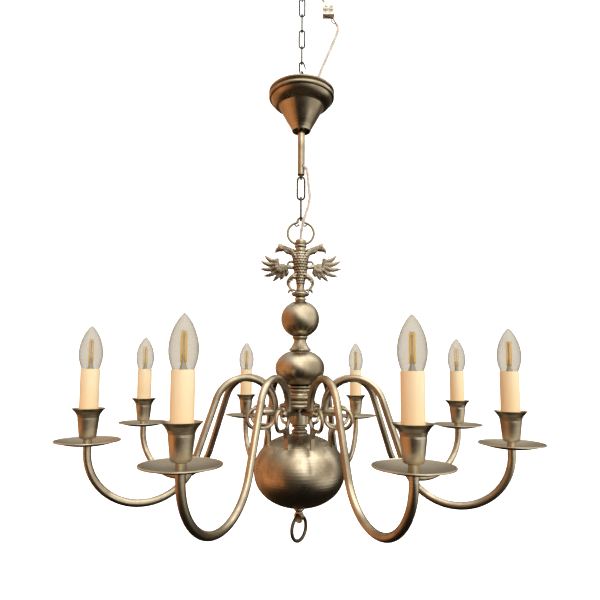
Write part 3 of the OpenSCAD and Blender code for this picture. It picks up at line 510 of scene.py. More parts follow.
@kept
def bulb_glass(name):
    """Thin clear glass, with painted shade darkening it towards its edges."""
    tone = tuple(bpy.context.scene.chandelier_candles.glass)
    material, b = board_for(name)
    spot, (_, _, z) = b.place()
    drift = b.noise(spot, 60.0, 2.0)
    facing = b.wire(b.node("ShaderNodeLayerWeight", None, {"Blend": 0.5}).outputs["Facing"])
    skin = b.node(
        "ShaderNodeBsdfPrincipled",
        None,
        {
            "Base Color": b.blend(b.span(drift, 0.35, 0.65), (0.07, 0.065, 0.055), (0.12, 0.11, 0.095)),
            "Roughness": 0.04,
            "Specular IOR Level": 0.8,
            "Normal": b.bump(drift, 0.05, 0.0008),
        },
    )
    clear = b.node("ShaderNodeBsdfTransparent", None, {"Color": tone})
    near_base = b.span(z, SLEEVE_TOP + 0.004, SLEEVE_TOP + 0.03, 0.55, 0.0)
    sparkle = b.span(b.noise(spot, 620.0, 2.0), 0.64, 0.70) * near_base
    # Painted shade: towards the grazing edges the dark glossy skin takes over from the clear layer, drawing a dark
    # outline; noise spots near the base add more of the skin for glints.
    mix = b.node(
        "ShaderNodeMixShader",
        None,
        {0: (facing ** 2.4) * 0.72 + 0.10 + sparkle, 1: clear.outputs[0], 2: skin.outputs[0]},
    )
    b.node("ShaderNodeOutputMaterial", None, {"Surface": mix.outputs[0]})
    return material


@kept
def light_strip(name):
    """Amber coated light strip."""
    tone = tuple(bpy.context.scene.chandelier_candles.filament)
    material, b = board_for(name)
    spot, (x, y, z) = b.place()
    grain = b.noise(spot, 1500.0, 2.0)
    beads = b.span((z * 2400.0).math("SINE"), -0.4, 0.9)
    b.finish(
        Base_Color=b.blend(beads * 0.5 + grain * 0.3, tone, tuple(c * 0.72 for c in tone)),
        Roughness=b.span(grain, 0.3, 0.7, 0.4, 0.6),
        Normal=b.bump(beads, 0.3, 0.0001),
        # Painted glow: a faint amber emission keeps the strips bright behind the glass.
        Emission_Color=tone,
        Emission_Strength=0.55,
    )
    return material


# ---- Mesh making ----


def mesh_object(name, bm, material, smooth=True):
    data = bpy.data.meshes.new(name)
    bmesh.ops.recalc_face_normals(bm, faces=bm.faces)
    bm.to_mesh(data)
    bm.free()
    for face in data.polygons:
        face.use_smooth = smooth
    made = bpy.data.objects.new(name, data)
    bpy.context.scene.collection.objects.link(made)
    if material is not None:
        data.materials.append(material)
    return made


def smooth_route(points, per=8):
    """Catmull-Rom points through a route."""
    route = [Vector(p) for p in points]
    ends = [2 * route[0] - route[1], *route, 2 * route[-1] - route[-2]]
    out = []
    for i in range(1, len(ends) - 2):
        a, b, c, d = ends[i - 1 : i + 3]
        for k in range(per):
            t = k / per
            out.append(
                0.5 * ((2 * b) + (c - a) * t + (2 * a - 5 * b + 4 * c - d) * t * t + (3 * b - a - 3 * c + d) * t ** 3)
            )
    out.append(route[-1])
    return out


def route_length(route):
    return sum((b - a).length for a, b in zip(route, route[1:]))


def frames_along(route, hint=Vector((0, 1, 0))):
    """A side and up direction at each point, carried along without twist."""
    out = []
    side = hint
    for i, _ in enumerate(route):
        ahead = (route[min(i + 1, len(route) - 1)] - route[max(i - 1, 0)]).normalized()
        side = (side - ahead * side.dot(ahead)).normalized()
        out.append((side, ahead.cross(side)))
    return out


def add_tube(bm, route, widths, depths, sides=16, hint=Vector((0, 1, 0)), round_ends=True):
    """A closed tube with its own half-width and half-depth at each point. Depth lies along the hint."""
    frames = frames_along(route, hint)
    rings = []
    for point, (side, up), width, depth in zip(route, frames, widths, depths):
        rings.append(
            [
                bm.verts.new(
                    point
                    + side * depth * math.cos(2 * math.pi * k / sides)
                    + up * width * math.sin(2 * math.pi * k / sides)
                )
                for k in range(sides)
            ]
        )
    for low, high in zip(rings, rings[1:]):
        for k in range(sides):
            bm.faces.new((low[k], low[(k + 1) % sides], high[(k + 1) % sides], high[k]))
    for ring, inward in ((rings[0], route[0] - route[1]), (rings[-1], route[-1] - route[-2])):
        centre = sum((v.co for v in ring), Vector()) / sides
        reach = min(widths[0] if ring is rings[0] else widths[-1], depths[0] if ring is rings[0] else depths[-1])
        tip = bm.verts.new(centre + (inward.normalized() * reach * 0.6 if round_ends else Vector()))
        for k in range(sides):
            bm.faces.new((ring[k], ring[(k + 1) % sides], tip))


def add_ball(bm, centre, radius, stretch=(1, 1, 1)):
    place = Matrix.Translation(centre) @ Matrix.Diagonal((*[radius * s for s in stretch], 1.0))
    bmesh.ops.create_icosphere(bm, subdivisions=3, radius=1.0, matrix=place)


def add_lathe(bm, outline, centre=Vector(), sides=48):
    """A turned form from (radius, height) points, closed on the axis where the radius is nought."""
    rings = []
    for radius, height in outline:
        if radius < 1e-7:
            rings.append([bm.verts.new(centre + Vector((0, 0, height)))])
        else:
            rings.append(
                [
                    bm.verts.new(
                        centre
                        + Vector(
                            (
                                radius * math.cos(2 * math.pi * k / sides),
                                radius * math.sin(2 * math.pi * k / sides),
                                height,
                            )
                        )
                    )
                    for k in range(sides)
                ]
            )
    for low, high in zip(rings, rings[1:]):
        for k in range(sides):
            n = (k + 1) % sides
            corners = [low[k % len(low)], low[n % len(low)], high[n % len(high)], high[k % len(high)]]
            corners = list(dict.fromkeys(corners))
            if len(corners) > 2:
                bm.faces.new(corners)


def tapered(values, count):
    """Even samples along a list of sizes."""
    out = []
    for i in range(count):
        t = i / (count - 1) * (len(values) - 1)
        k = min(int(t), len(values) - 2)
        out.append(values[k] + (values[k + 1] - values[k]) * (t - k))
    return out


def dress(material, slot, *nodes):
    """Gives CAD nodes their finish."""
    for name in nodes:
        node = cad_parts[name]
        node.data.materials.clear()
        node.data.materials.append(material)


# ---- Stage ----


class CHANDELIER_OT_stage(bpy.types.Operator):
    """Camera, pale floor with a swept backdrop, and soft studio light"""

    bl_idname = "chandelier.stage"
    bl_label = "Stage"

    def execute(self, context):
        s = context.scene.chandelier_stage
        data = bpy.data.cameras.new("camera")
        data.sensor_width = 36
        data.lens = s.lens
        data.shift_x = -0.0003
        data.shift_y = 0.0425
        data.clip_start = 0.02
        camera = bpy.data.objects.new("camera", data)
        context.scene.collection.objects.link(camera)
        place = Vector((math.sin(s.camera_side), -math.cos(s.camera_side), 0)) * s.camera_distance
        place.z = s.camera_height
        camera.matrix_world = (
            Matrix.Translation(place)
            @ Matrix.Rotation(s.camera_side, 4, "Z")
            @ Matrix.Rotation(math.pi / 2 + s.camera_pitch, 4, "X")
            @ Matrix.Rotation(s.camera_roll, 4, "Z")
        )
        context.scene.camera = camera
        self.floor(s)
        self.sky(context)
        self.lamps(context)
        context.scene.view_settings.view_transform = "Standard"
        return {"FINISHED"}

    def floor(self, s):
        bm = bmesh.new()
        front, back, bend, half_width, height = -6.0, 3.0, 1.5, 11.0, 14.0
        sweep = [(front, 0.0), (back, 0.0)]
        for turn in (math.radians(k) for k in range(6, 91, 6)):
            sweep.append((back + bend * math.sin(turn), bend - bend * math.cos(turn)))
        sweep.append((back + bend, height))
        for y, z in sweep:
            for x in (-half_width, half_width):
                bm.verts.new((x, y, z - s.floor_drop))
        bm.verts.ensure_lookup_table()
        for i in range(len(sweep) - 1):
            bm.faces.new([bm.verts[k] for k in (2 * i, 2 * i + 1, 2 * i + 3, 2 * i + 2)])
        material, b = board_for("pale_floor")
        spot, _ = b.place()
        cloud = b.noise(spot, 3.0, 2.0)
        tone = tuple(s.floor_colour)
        b.finish(
            Base_Color=b.blend(cloud * 0.15, tone, tuple(c * 0.96 for c in tone)),
            Roughness=0.9,
            Emission_Color=(1.0, 1.0, 1.0),
            Emission_Strength=0.95,
        )
        floor = mesh_object("floor", bm, material)
        floor.visible_glossy = False
        floor.visible_diffuse = False

    def sky(self, context):
        world = bpy.data.worlds.new("studio")
        world.use_nodes = True
        context.scene.world = world
        b = Board(world.node_tree)
        way = b.node("ShaderNodeTexCoord").outputs["Generated"]
        east, north, height = (b.wire(o) for o in b.node("ShaderNodeSeparateXYZ", None, {0: way}).outputs)
        colour = b.node(
            "ShaderNodeValToRGB",
            {
                "stops": [
                    (0.0, (0.012, 0.009, 0.006)),
                    (0.40, (0.030, 0.022, 0.014)),
                    (0.53, (0.10, 0.08, 0.057)),
                    (0.66, (0.26, 0.24, 0.20)),
                    (0.82, (0.72, 0.69, 0.62)),
                    (1.0, (1.25, 1.21, 1.12)),
                ]
            },
            {0: height * 0.5 + 0.5},
        ).outputs[0]
        for toward, low, high, tone in (
            ((0.50, -0.48, 0.70), 0.36, 0.84, (3.0, 2.92, 2.68)),
            ((0.92, -0.30, 0.12), 0.62, 0.96, (1.30, 1.24, 1.10)),
        ):
            unit = tuple(Vector(toward).normalized())
            dot = b.node("ShaderNodeVectorMath", {"operation": "DOT_PRODUCT"}, {0: way, 1: unit}).outputs["Value"]
            colour = b.blend(b.span(b.wire(dot), low, high), colour, tone)
        # A tall warm panel on the left with a sharp front edge and upright streaks
        flat = (east * east + north * north + 0.01).math("SQRT")
        panel = b.span((east * -0.995 + north * 0.10) / flat, 0.49, 0.59)
        panel = panel * b.span(height, -0.75, -0.30) * b.span(height, 0.35, 0.80, 1.0, 0.0)
        streaks = b.noise(b.vector(east / flat, north / flat, 0.0), 9.0, 2.0)
        colour = b.blend(panel * b.span(streaks, 0.38, 0.60, 0.35, 1.0), colour, (1.35, 0.60, 0.25))
        lit = b.node("ShaderNodeBackground", None, {"Color": colour, "Strength": 1.0})
        seen = b.node("ShaderNodeBackground", None, {"Color": (1.0, 1.0, 1.0), "Strength": 1.0})
        ray = b.node("ShaderNodeLightPath").outputs["Is Camera Ray"]
        mix = b.node("ShaderNodeMixShader", None, {0: ray, 1: lit.outputs[0], 2: seen.outputs[0]})
        b.node("ShaderNodeOutputWorld", None, {"Surface": mix.outputs[0]})

    def lamps(self, context):
        aim = Vector((0, 0, -0.75))
        for name, place, size, power, tone in (
            ("key", (1.6, -1.9, 0.9), 1.6, 14.0, (1.0, 0.97, 0.88)),
            ("fill", (-2.0, -1.7, 0.1), 1.8, 4.0, (1.0, 0.86, 0.72)),
            ("floor_wash", (0.0, 1.2, 1.4), 4.0, 12.0, (1.0, 1.0, 1.0)),
        ):
            data = bpy.data.lights.new(name, "AREA")
            data.size = size
            data.energy = power
            data.color = tone
            lamp = bpy.data.objects.new(name, data)
            context.scene.collection.objects.link(lamp)
            lamp.location = place
            to = aim if name != "floor_wash" else Vector((0, 2.5, -2.4))
            lamp.rotation_euler = (to - Vector(place)).to_track_quat("-Z", "Y").to_euler()
            lamp.visible_glossy = False


# ---- Cords ----

CORE_OFFSET = 0.53  # from the cord's axis to a core's, in core diameters
CORE_TURN = 26  # route points to one full twist of the two cores


def make_cord(name, points, diameter, nodes, cores=True):
    """A clear cord along a smooth curved route, with its two cores inside."""
    tones = bpy.context.scene.chandelier_cords
    route = smooth_route([Vector(p) * MM for p in points])
    count = len(route)
    bm = bmesh.new()
    add_tube(bm, route, [diameter / 2] * count, [diameter / 2] * count, 20)
    cord = mesh_object(name, bm, clear_sheath("clear_cord_sheath"))
    inside = []
    if cores:
        frames = frames_along(route)
        for side in (0, 1):
            bent = []
            for i, (point, (a, up)) in enumerate(zip(route, frames)):
                turn = 2 * math.pi * i / CORE_TURN + math.pi * side
                off = tones.core_diameter * CORE_OFFSET
                bent.append(point + a * off * math.cos(turn) + up * off * math.sin(turn))
            bm = bmesh.new()
            add_tube(bm, bent, [tones.core_diameter / 2] * count, [tones.core_diameter / 2] * count, 10)
            tone = ((0.50, 0.30, 0.24), (0.72, 0.66, 0.62))[side]
            core = mesh_object(f"{name}_core_{side + 1}", bm, moulded_plastic(f"core_{side + 1}", tone, 0.35, 0.0))
            inside.append(core)
    for piece in (cord, *inside):
        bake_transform(piece)
    if nodes:
        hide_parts(*nodes)
    route_length(route)
    return cord


class CHANDELIER_OT_supply(bpy.types.Operator):
    """Feed cord from the ceiling, the supply cord down to the rod and its two bare cores"""

    bl_idname = "chandelier.supply"
    bl_label = "Supply cord"

    def execute(self, context):
        s = context.scene.chandelier_cords
        feed = [
            (38, 0, -7), (38, 0, -15), (38, 0, -26), (37, 0, -38), (37, 0, -50), (38, 0, -62), (41, 0, -72),
            (45, 0, -79),
        ]
        make_cord(
            "feed_flex", feed, s.feed_diameter, ["feed_cord"],
        )
        supply = [
            (6.5, 0, -243), (12, 0, -242), (18, 0, -240), (25, 0, -233), (32, 0, -222), (39, 0, -203), (47, 0, -184),
            (55, 0, -165), (62, 0, -148), (67, 0, -134), (68, 0, -124), (65, 0, -117),
        ]
        make_cord(
            "supply_flex", supply, s.diameter, ["supply_cord"]
        )
        tones = ((0.05, 0.045, 0.045), (0.55, 0.52, 0.50))
        for k, (side, tone) in enumerate(zip((-1, 1), tones)):
            route = smooth_route(
                [
                    Vector((65 + side * 1.2, side * 1.1, -117)) * MM,
                    Vector((61 + side * 3.5, side * 2.0, -111)) * MM,
                    Vector((54 + side * 6.5, side * 2.2, -108)) * MM,
                    Vector((50 + side * 6.0, side * 1.2, -105.5)) * MM,
                    Vector((50 + side * 4.5, 0, -101)) * MM,
                ],
                10,
            )
            size, shortest, bow = 0.0022, 0.0315, 0.0004
            while route_length(route) < shortest:
                last = len(route) - 1
                route = [
                    p + Vector((0, side * bow * math.sin(math.pi * i / last), 0)) for i, p in enumerate(route)
                ]
            bm = bmesh.new()
            add_tube(bm, route, [size / 2] * len(route), [size / 2] * len(route), 12)
            name = f"supply_core_{k + 1}"
            wire = mesh_object(name, bm, moulded_plastic(f"{name}_finish", tone, 0.35, 0.0))
            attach(wire, "top_link")
            route_length(route)
        return {"FINISHED"}


class CHANDELIER_OT_inner_flex(bpy.types.Operator):
    """The flex beside the lower links, from the rod's side hole into the cup above the eagle"""

    bl_idname = "chandelier.inner_flex"
    bl_label = "Inner flex"

    def execute(self, context):
        s = context.scene.chandelier_cords
        upper = [
            (4.6, -4.6, -398), (9, -6.5, -402), (12, -7.2, -412), (13, -7, -426), (14, -6.5, -434), (15, -6.5, -442),
            (16, -6.5, -451),
        ]
        make_cord(
            "flex_upper", upper, s.diameter, ["lower_cord_1"]
        )
        lower = [
            (16, -6.5, -451), (16.2, -6.5, -457), (15.5, -6.5, -463), (14, -6.5, -471), (12, -6.5, -479),
            (9, -6.7, -488),
        ]
        make_cord(
            "flex_middle", lower, s.diameter,
            ["lower_cord_2"],
        )
        last = [
            (9, -6.7, -488), (6.8, -7, -495), (4.5, -7, -503), (3, -5.5, -510), (1.5, -3.5, -517), (0.5, -1.5, -525),
            (0, 0, -534),
        ]
        make_cord(
            "flex_lower", last, s.diameter,
            ["lower_cord_3"],
        )
        return {"FINISHED"}


# ---- Hanging gear ----


class CHANDELIER_OT_hanging_gear(bpy.types.Operator):
    """Ceiling plate and hook, chain, rod loop, terminal block, rod eye, lower links and pull ring"""

    bl_idname = "chandelier.hanging_gear"
    bl_label = "Hanging gear"

    def execute(self, context):
        dress(turned_brass("ceiling_plate_brass", 0.05), "antique_brass", "ceiling_plate")
        dress(
            dark_metal("blackened_steel", "black"), "black_steel", "ceiling_hook", "chain_link_top", "chain_links",
            "chain_hook", "canopy_screw",
        )
        dress(dark_metal("bronzed_wire", "bronze"), "antique_brass", "lower_link_1", "lower_link_2", "pull_ring")
        dress(dark_metal("bronzed_wire", "bronze"), "black_steel", "rod_eye")
        dress(plated_steel("plated_wire"), "bright_steel", "rod_loop", "tie_rod")
        dress(moulded_plastic("block_nylon", (0.90, 0.90, 0.87), 0.32, 0.3), "white_plastic", "terminal_block")
        bush = moulded_plastic("bush_plastic", (0.82, 0.82, 0.78), 0.35, 0.1)
        dress(bush, "white_plastic", "cable_bush", "wire_block")
        return {"FINISHED"}


class CHANDELIER_OT_rod_and_canopy(bpy.types.Operator):
    """Down rod, canopy and its collar"""

    bl_idname = "chandelier.rod_and_canopy"
    bl_label = "Rod and canopy"

    def execute(self, context):
        dress(turned_brass("canopy_brass", 0.02), "antique_brass", "canopy", "canopy_collar")
        dress(turned_brass("rod_brass", 0.06), "antique_brass", "down_rod")
        return {"FINISHED"}


class CHANDELIER_OT_column(bpy.types.Operator):
    """Lyre loop, collars, balls, necks, rings and hub of the column"""

    bl_idname = "chandelier.column"
    bl_label = "Turned column"

    def execute(self, context):
        dress(tube_brass("lyre_brass", 0.85), "antique_brass", "lyre_loop")
        dress(
            turned_brass("column_brass", 0.0), "antique_brass", "cord_cup", "neck_collar", "dish_collar", "small_ball",
            "upper_neck", "medium_ball", "ring_stack", "hub_disc", "hub_barrel", "lower_neck", "large_ball",
            "bottom_collar", "ring_eye",
        )
        return {"FINISHED"}


class CHANDELIER_OT_arms(bpy.types.Operator):
    """Arms with their pegs, scrolls and straps, and the nipples through the pans"""

    bl_idname = "chandelier.arms"
    bl_label = "Arms"

    def execute(self, context):
        arms = [f"arm_{i + 1}" for i in range(ARM_COUNT)]
        dress(tube_brass("arm_brass", 0.0), "antique_brass", *arms, "arm_nipples")
        return {"FINISHED"}


class CHANDELIER_OT_candles(bpy.types.Operator):
    """Drip pans, cups, candle sleeves and lampholders"""

    bl_idname = "chandelier.candles"
    bl_label = "Candles"

    def execute(self, context):
        dress(spun_brass("spun_brass"), "antique_brass", "drip_pans", "candle_cups")
        dress(candle_cream("candle_cream"), "candle_sleeve", "candle_sleeves")
        dress(moulded_plastic("holder_white", (0.80, 0.80, 0.76), 0.4, 0.0), "white_plastic", "lampholders")
        return {"FINISHED"}


# ---- Eagle ----


def scales(point, size):
    """Height of the feather scales at a point of the breast: 0 in the gaps, 1 on a scale's lower lip."""
    row_h = size * 0.95
    row = math.floor(point.z / row_h)
    turn = math.atan2(point.x, -point.y) * 0.0115 / size
    across = (turn + 0.5 * (row % 2)) % 1.0 - 0.5
    drop = 1.0 - (point.z / row_h - row)
    lip = drop - 1.5 * across * across
    return max(0.0, min(1.0, 0.25 + lip * 0.9 - 0.9 * max(0.0, abs(across) * 2 - 0.78)))


class CHANDELIER_OT_eagle(bpy.types.Operator):
    """Cast double-headed eagle with spread wings and bowed legs"""

    bl_idname = "chandelier.eagle"
    bl_label = "Eagle"

    def execute(self, context):
        s = context.scene.chandelier_eagle
        bm = bmesh.new()
        self.torso(bm)
        for side in (-1, 1):
            self.head(bm, side)
            self.leg(bm, side)
            self.wing(bm, side)
        eagle = mesh_object("eagle", bm, None)
        remesh = eagle.modifiers.new("cast", "REMESH")
        remesh.mode = "VOXEL"
        remesh.voxel_size = s.grain
        remesh.use_smooth_shade = True
        graph = context.evaluated_depsgraph_get()
        cast = bpy.data.meshes.new_from_object(eagle.evaluated_get(graph))
        eagle.modifiers.clear()
        eagle.data = cast
        self.carve(cast, s.relief)
        eagle.location = (0, 0, EAGLE_BASE)
        context.view_layer.update()
        cast.transform(eagle.matrix_world)
        eagle.matrix_world = Matrix.Identity(4)
        cast.materials.clear()
        cast.materials.append(cast_brass("cast_brass"))
        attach(eagle, "chandelier")
        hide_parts("eagle_body", "eagle_wings")
        return {"FINISHED"}

    def torso(self, bm):
        tall = (EAGLE_TOP - EAGLE_BASE) / MM
        outline = [
            (0, 0), (9.5, 0), (9.8, 2.2), (7.4, 4.5), (7.2, 9), (7.8, 15), (8.6, 21), (10.0, 28), (11.6, 35),
            (12.8, 43), (13.2, 50), (13.0, 57), (12.2, 63), (10.6, 69), (9.4, 74), (9.6, tall - 2), (9.2, tall),
            (0, tall),
        ]
        add_lathe(bm, [(r * MM, z * MM) for r, z in outline], sides=64)

    def path(self, bm, side, points, widths, depths, sides=14, hint=Vector((0, 1, 0)), per=6):
        route = smooth_route([Vector((side * x, y, z)) * MM for x, y, z in points], per)
        count = len(route)
        add_tube(
            bm, route, [w * MM for w in tapered(widths, count)], [d * MM for d in tapered(depths, count)], sides, hint
        )

    def head(self, bm, side):
        # Neck, skull, hooked beak, brow and crest of one head
        self.path(
            bm, side, [(4, -3, 52), (8, -3.5, 62), (13, -3, 71), (21, -2, 76.5), (29, -1, 78.5), (35, 0, 79)],
            [7, 7.2, 6.2, 5.0, 4.6, 5.0], [7, 6.6, 5.8, 5.0, 4.6, 5.0], 18,
        )
        add_ball(bm, Vector((side * 35.5, 0, 79)) * MM, 5.7 * MM, (1.15, 0.95, 0.95))
        self.path(
            bm, side, [(37, 0, 80), (41.5, 0, 78.5), (44.6, 0, 74.5), (45.2, 0, 69)],
            [4.2, 3.4, 2.2, 0.5], [3.6, 2.8, 1.9, 0.5],
        )
        self.path(bm, side, [(37, 0, 76.4), (40.5, 0, 74.6), (42.2, 0, 72.6)], [2.2, 1.5, 0.6], [2.4, 1.6, 0.6])
        for k, (x, z, tip_x, tip_z) in enumerate(
            (
                (38.6, 82.5, 41.0, 89.5), (36.4, 83.2, 37.4, 91.0), (33.8, 83.2, 33.2, 89.6),
                (31.0, 82.0, 28.6, 87.0), (28.0, 81.0, 25.0, 84.6),
            )
        ):
            self.path(
                bm, side, [(x, 0, z - 3), ((x + tip_x) / 2 + 0.6, 0, (z + tip_z) / 2), (tip_x, 0, tip_z)],
                [1.9, 1.5, 0.45], [2.1, 1.4, 0.5],
            )
        for y in (-1, 1):
            add_ball(bm, Vector((side * 38.2, y * 4.6, 80.2)) * MM, 1.25 * MM)
            brow = [(34.5, y * 4.4, 81.6), (38, y * 5.0, 82.2), (41, y * 3.6, 81.0)]
            self.path(bm, side, brow, [0.8, 1.0, 0.5], [0.8, 1.0, 0.5])
        # Ruff of feathers down the neck
        for k in range(5):
            t = k / 4
            x, z = 12 + 15 * t, 66.5 + 8.2 * math.sin(t * math.pi / 2)
            for y in (-1, 1):
                self.path(
                    bm, side, [(x + 3.5, y * 4.2, z + 1.5), (x, y * 5.4, z - 1.5), (x - 3.4, y * 5.6, z - 4.6)],
                    [1.7, 1.9, 0.6], [0.9, 1.1, 0.4], 10,
                )

    def leg(self, bm, side):
        # Feathered thigh, bowed shin, ankle and claws of one leg
        self.path(
            bm, side,
            [(6, -4, 33), (12, -5, 28), (18, -4.5, 23), (22.4, -3, 17), (21, -2.4, 11), (17.2, -3, 5), (14, -4, 1)],
            [4.6, 5.0, 4.2, 3.2, 2.7, 2.4, 2.6], [4.0, 4.2, 3.6, 3.0, 2.6, 2.4, 2.6], 14,
        )
        for x, z in ((11, 24.5), (15, 21.5), (18.6, 18.0)):
            plume = [(x + 2, -5.5, z + 4), (x, -6.6, z), (x - 2.5, -6.4, z - 3.6)]
            self.path(bm, side, plume, [1.8, 1.9, 0.5], [1.0, 1.2, 0.4], 10)
        for tip in ((22.0, -8.0, -5.5), (15.0, -13.0, -5.0), (8.5, -11.5, -3.0), (21.0, 1.0, -3.5)):
            middle_way = ((14 + tip[0]) / 2 + 0.8, (-4 + tip[1]) / 2 - 0.6, 2.2)
            claw = [(14, -4, 1.5), middle_way, (tip[0] * 0.96, tip[1] * 0.96, 0.2), tip]
            self.path(bm, side, claw, [2.2, 2.0, 1.6, 0.4], [2.0, 1.8, 1.4, 0.4], 10)

    def wing(self, bm, side):
        # Curled root, rounded shoulder and seven long feathers, with two rows of short ones over them
        self.path(
            bm, side, [(9, 1, 53), (15, 1, 55.5), (20, 1, 55), (23, 1, 51.5), (21.5, 1, 48), (18.5, 1, 48.4)],
            [3.0, 2.5, 2.2, 2.0, 1.8, 1.6], [3.0, 2.5, 2.2, 2.0, 1.8, 1.6],
        )
        self.path(
            bm, side, [(9, 1, 45), (16, 1, 44.5), (24, 1, 45.6), (32, 1, 47.2), (39, 0.5, 48.5)],
            [3.4, 2.9, 3.6, 4.6, 3.4], [3.0, 2.6, 3.0, 3.2, 2.6],
        )
        self.path(
            bm, side, [(40, 0.5, 49), (44, 0.5, 53), (45.2, 0.5, 57.5), (42.4, 0.5, 60), (39.8, 0.5, 57.6)],
            [3.6, 3.0, 2.5, 2.2, 1.7], [2.8, 2.6, 2.3, 2.0, 1.6],
        )
        tips = ((66, 67.5), (73.5, 57.0), (74.5, 42.5), (67.5, 28.5), (50.5, 19.0), (37.0, 21.0), (27.0, 27.0))
        roots = ((41, 54), (42, 49.5), (41, 45), (38.5, 41.5), (35, 39.5), (31, 40), (27, 41.5))
        for k, ((tx, tz), (rx, rz)) in enumerate(zip(tips, roots)):
            bend = 3.2 if k < 4 else 2.0
            mx, mz = (tx + rx) / 2, (tz + rz) / 2
            along = Vector((tx - rx, tz - rz)).normalized()
            mx, mz = mx + along.y * bend, mz - along.x * bend
            depth = 0.9 - 0.22 * k
            self.path(
                bm, side, [(rx, depth, rz), (mx, depth - 1.0, mz), (tx, depth + 1.6, tz)],
                [3.6, 4.5, 4.3, 3.2, 0.6], [1.7, 1.6, 1.4, 1.2, 0.5], 16, per=9,
            )
            self.path(
                bm, side, [(rx, depth - 1.4, rz), (mx, depth - 2.4, mz), (tx, depth + 0.6, tz)],
                [0.85, 0.8, 0.7, 0.4], [0.9, 0.8, 0.7, 0.4], 8, per=9,
            )
            for reach, wide, out in ((0.55, 3.1, 2.0), (0.30, 3.3, 3.2)):
                cx, cz = rx + (mx - rx) * 2 * reach * 0.9, rz + (mz - rz) * 2 * reach * 0.9
                self.path(
                    bm, side,
                    [
                        (rx - 1.5 * along.x, depth - out, rz - 1.5 * along.y),
                        ((rx + cx) / 2, depth - out - 0.5, (rz + cz) / 2),
                        (cx, depth - out + 0.7, cz),
                    ],
                    [2.4, wide, 0.9], [1.2, 1.1, 0.5], 10,
                )
        shoulder = [(30, 0, 42), (35, -0.5, 44), (40, 0, 47), (42, 0.4, 51)]
        self.path(bm, side, shoulder, [5.5, 6.0, 5.5, 4.0], [2.2, 2.6, 2.4, 2.0])

    def carve(self, cast, relief):
        """Pushes scales and barbs into the casting and keeps how raised each point is."""
        raised = cast.attributes.new("raised", "FLOAT", "POINT")
        moved = []
        for v in cast.vertices:
            p, n = v.co.copy(), v.normal.copy()
            out = abs(p.x) / MM
            core = math.hypot(p.x, p.y) / MM
            if core < 15.5 and 12 < p.z / MM < 74 and out < 14:
                lift_by = scales(p, 0.0052)
            elif out > 24 and 16 < p.z / MM < 69 and abs(n.y) > 0.3 and p.y < 0.002:
                lift_by = 0.55 + 0.28 * math.sin((p.x * (1 if p.x > 0 else -1) * 0.6 + p.z) / MM * 2.1)
            elif 64 < p.z / MM < 84 and 10 < out < 34:
                lift_by = 0.5 + 0.3 * math.sin((out * 1.0 - p.z / MM) * 1.9)
            else:
                lift_by = 0.62
            moved.append((p + n * (lift_by - 0.6) * relief, lift_by))
        for v, (place, _) in zip(cast.vertices, moved):
            v.co = place
        raised.data.foreach_set("value", [m[1] for m in moved])


# ---- Bulbs ----


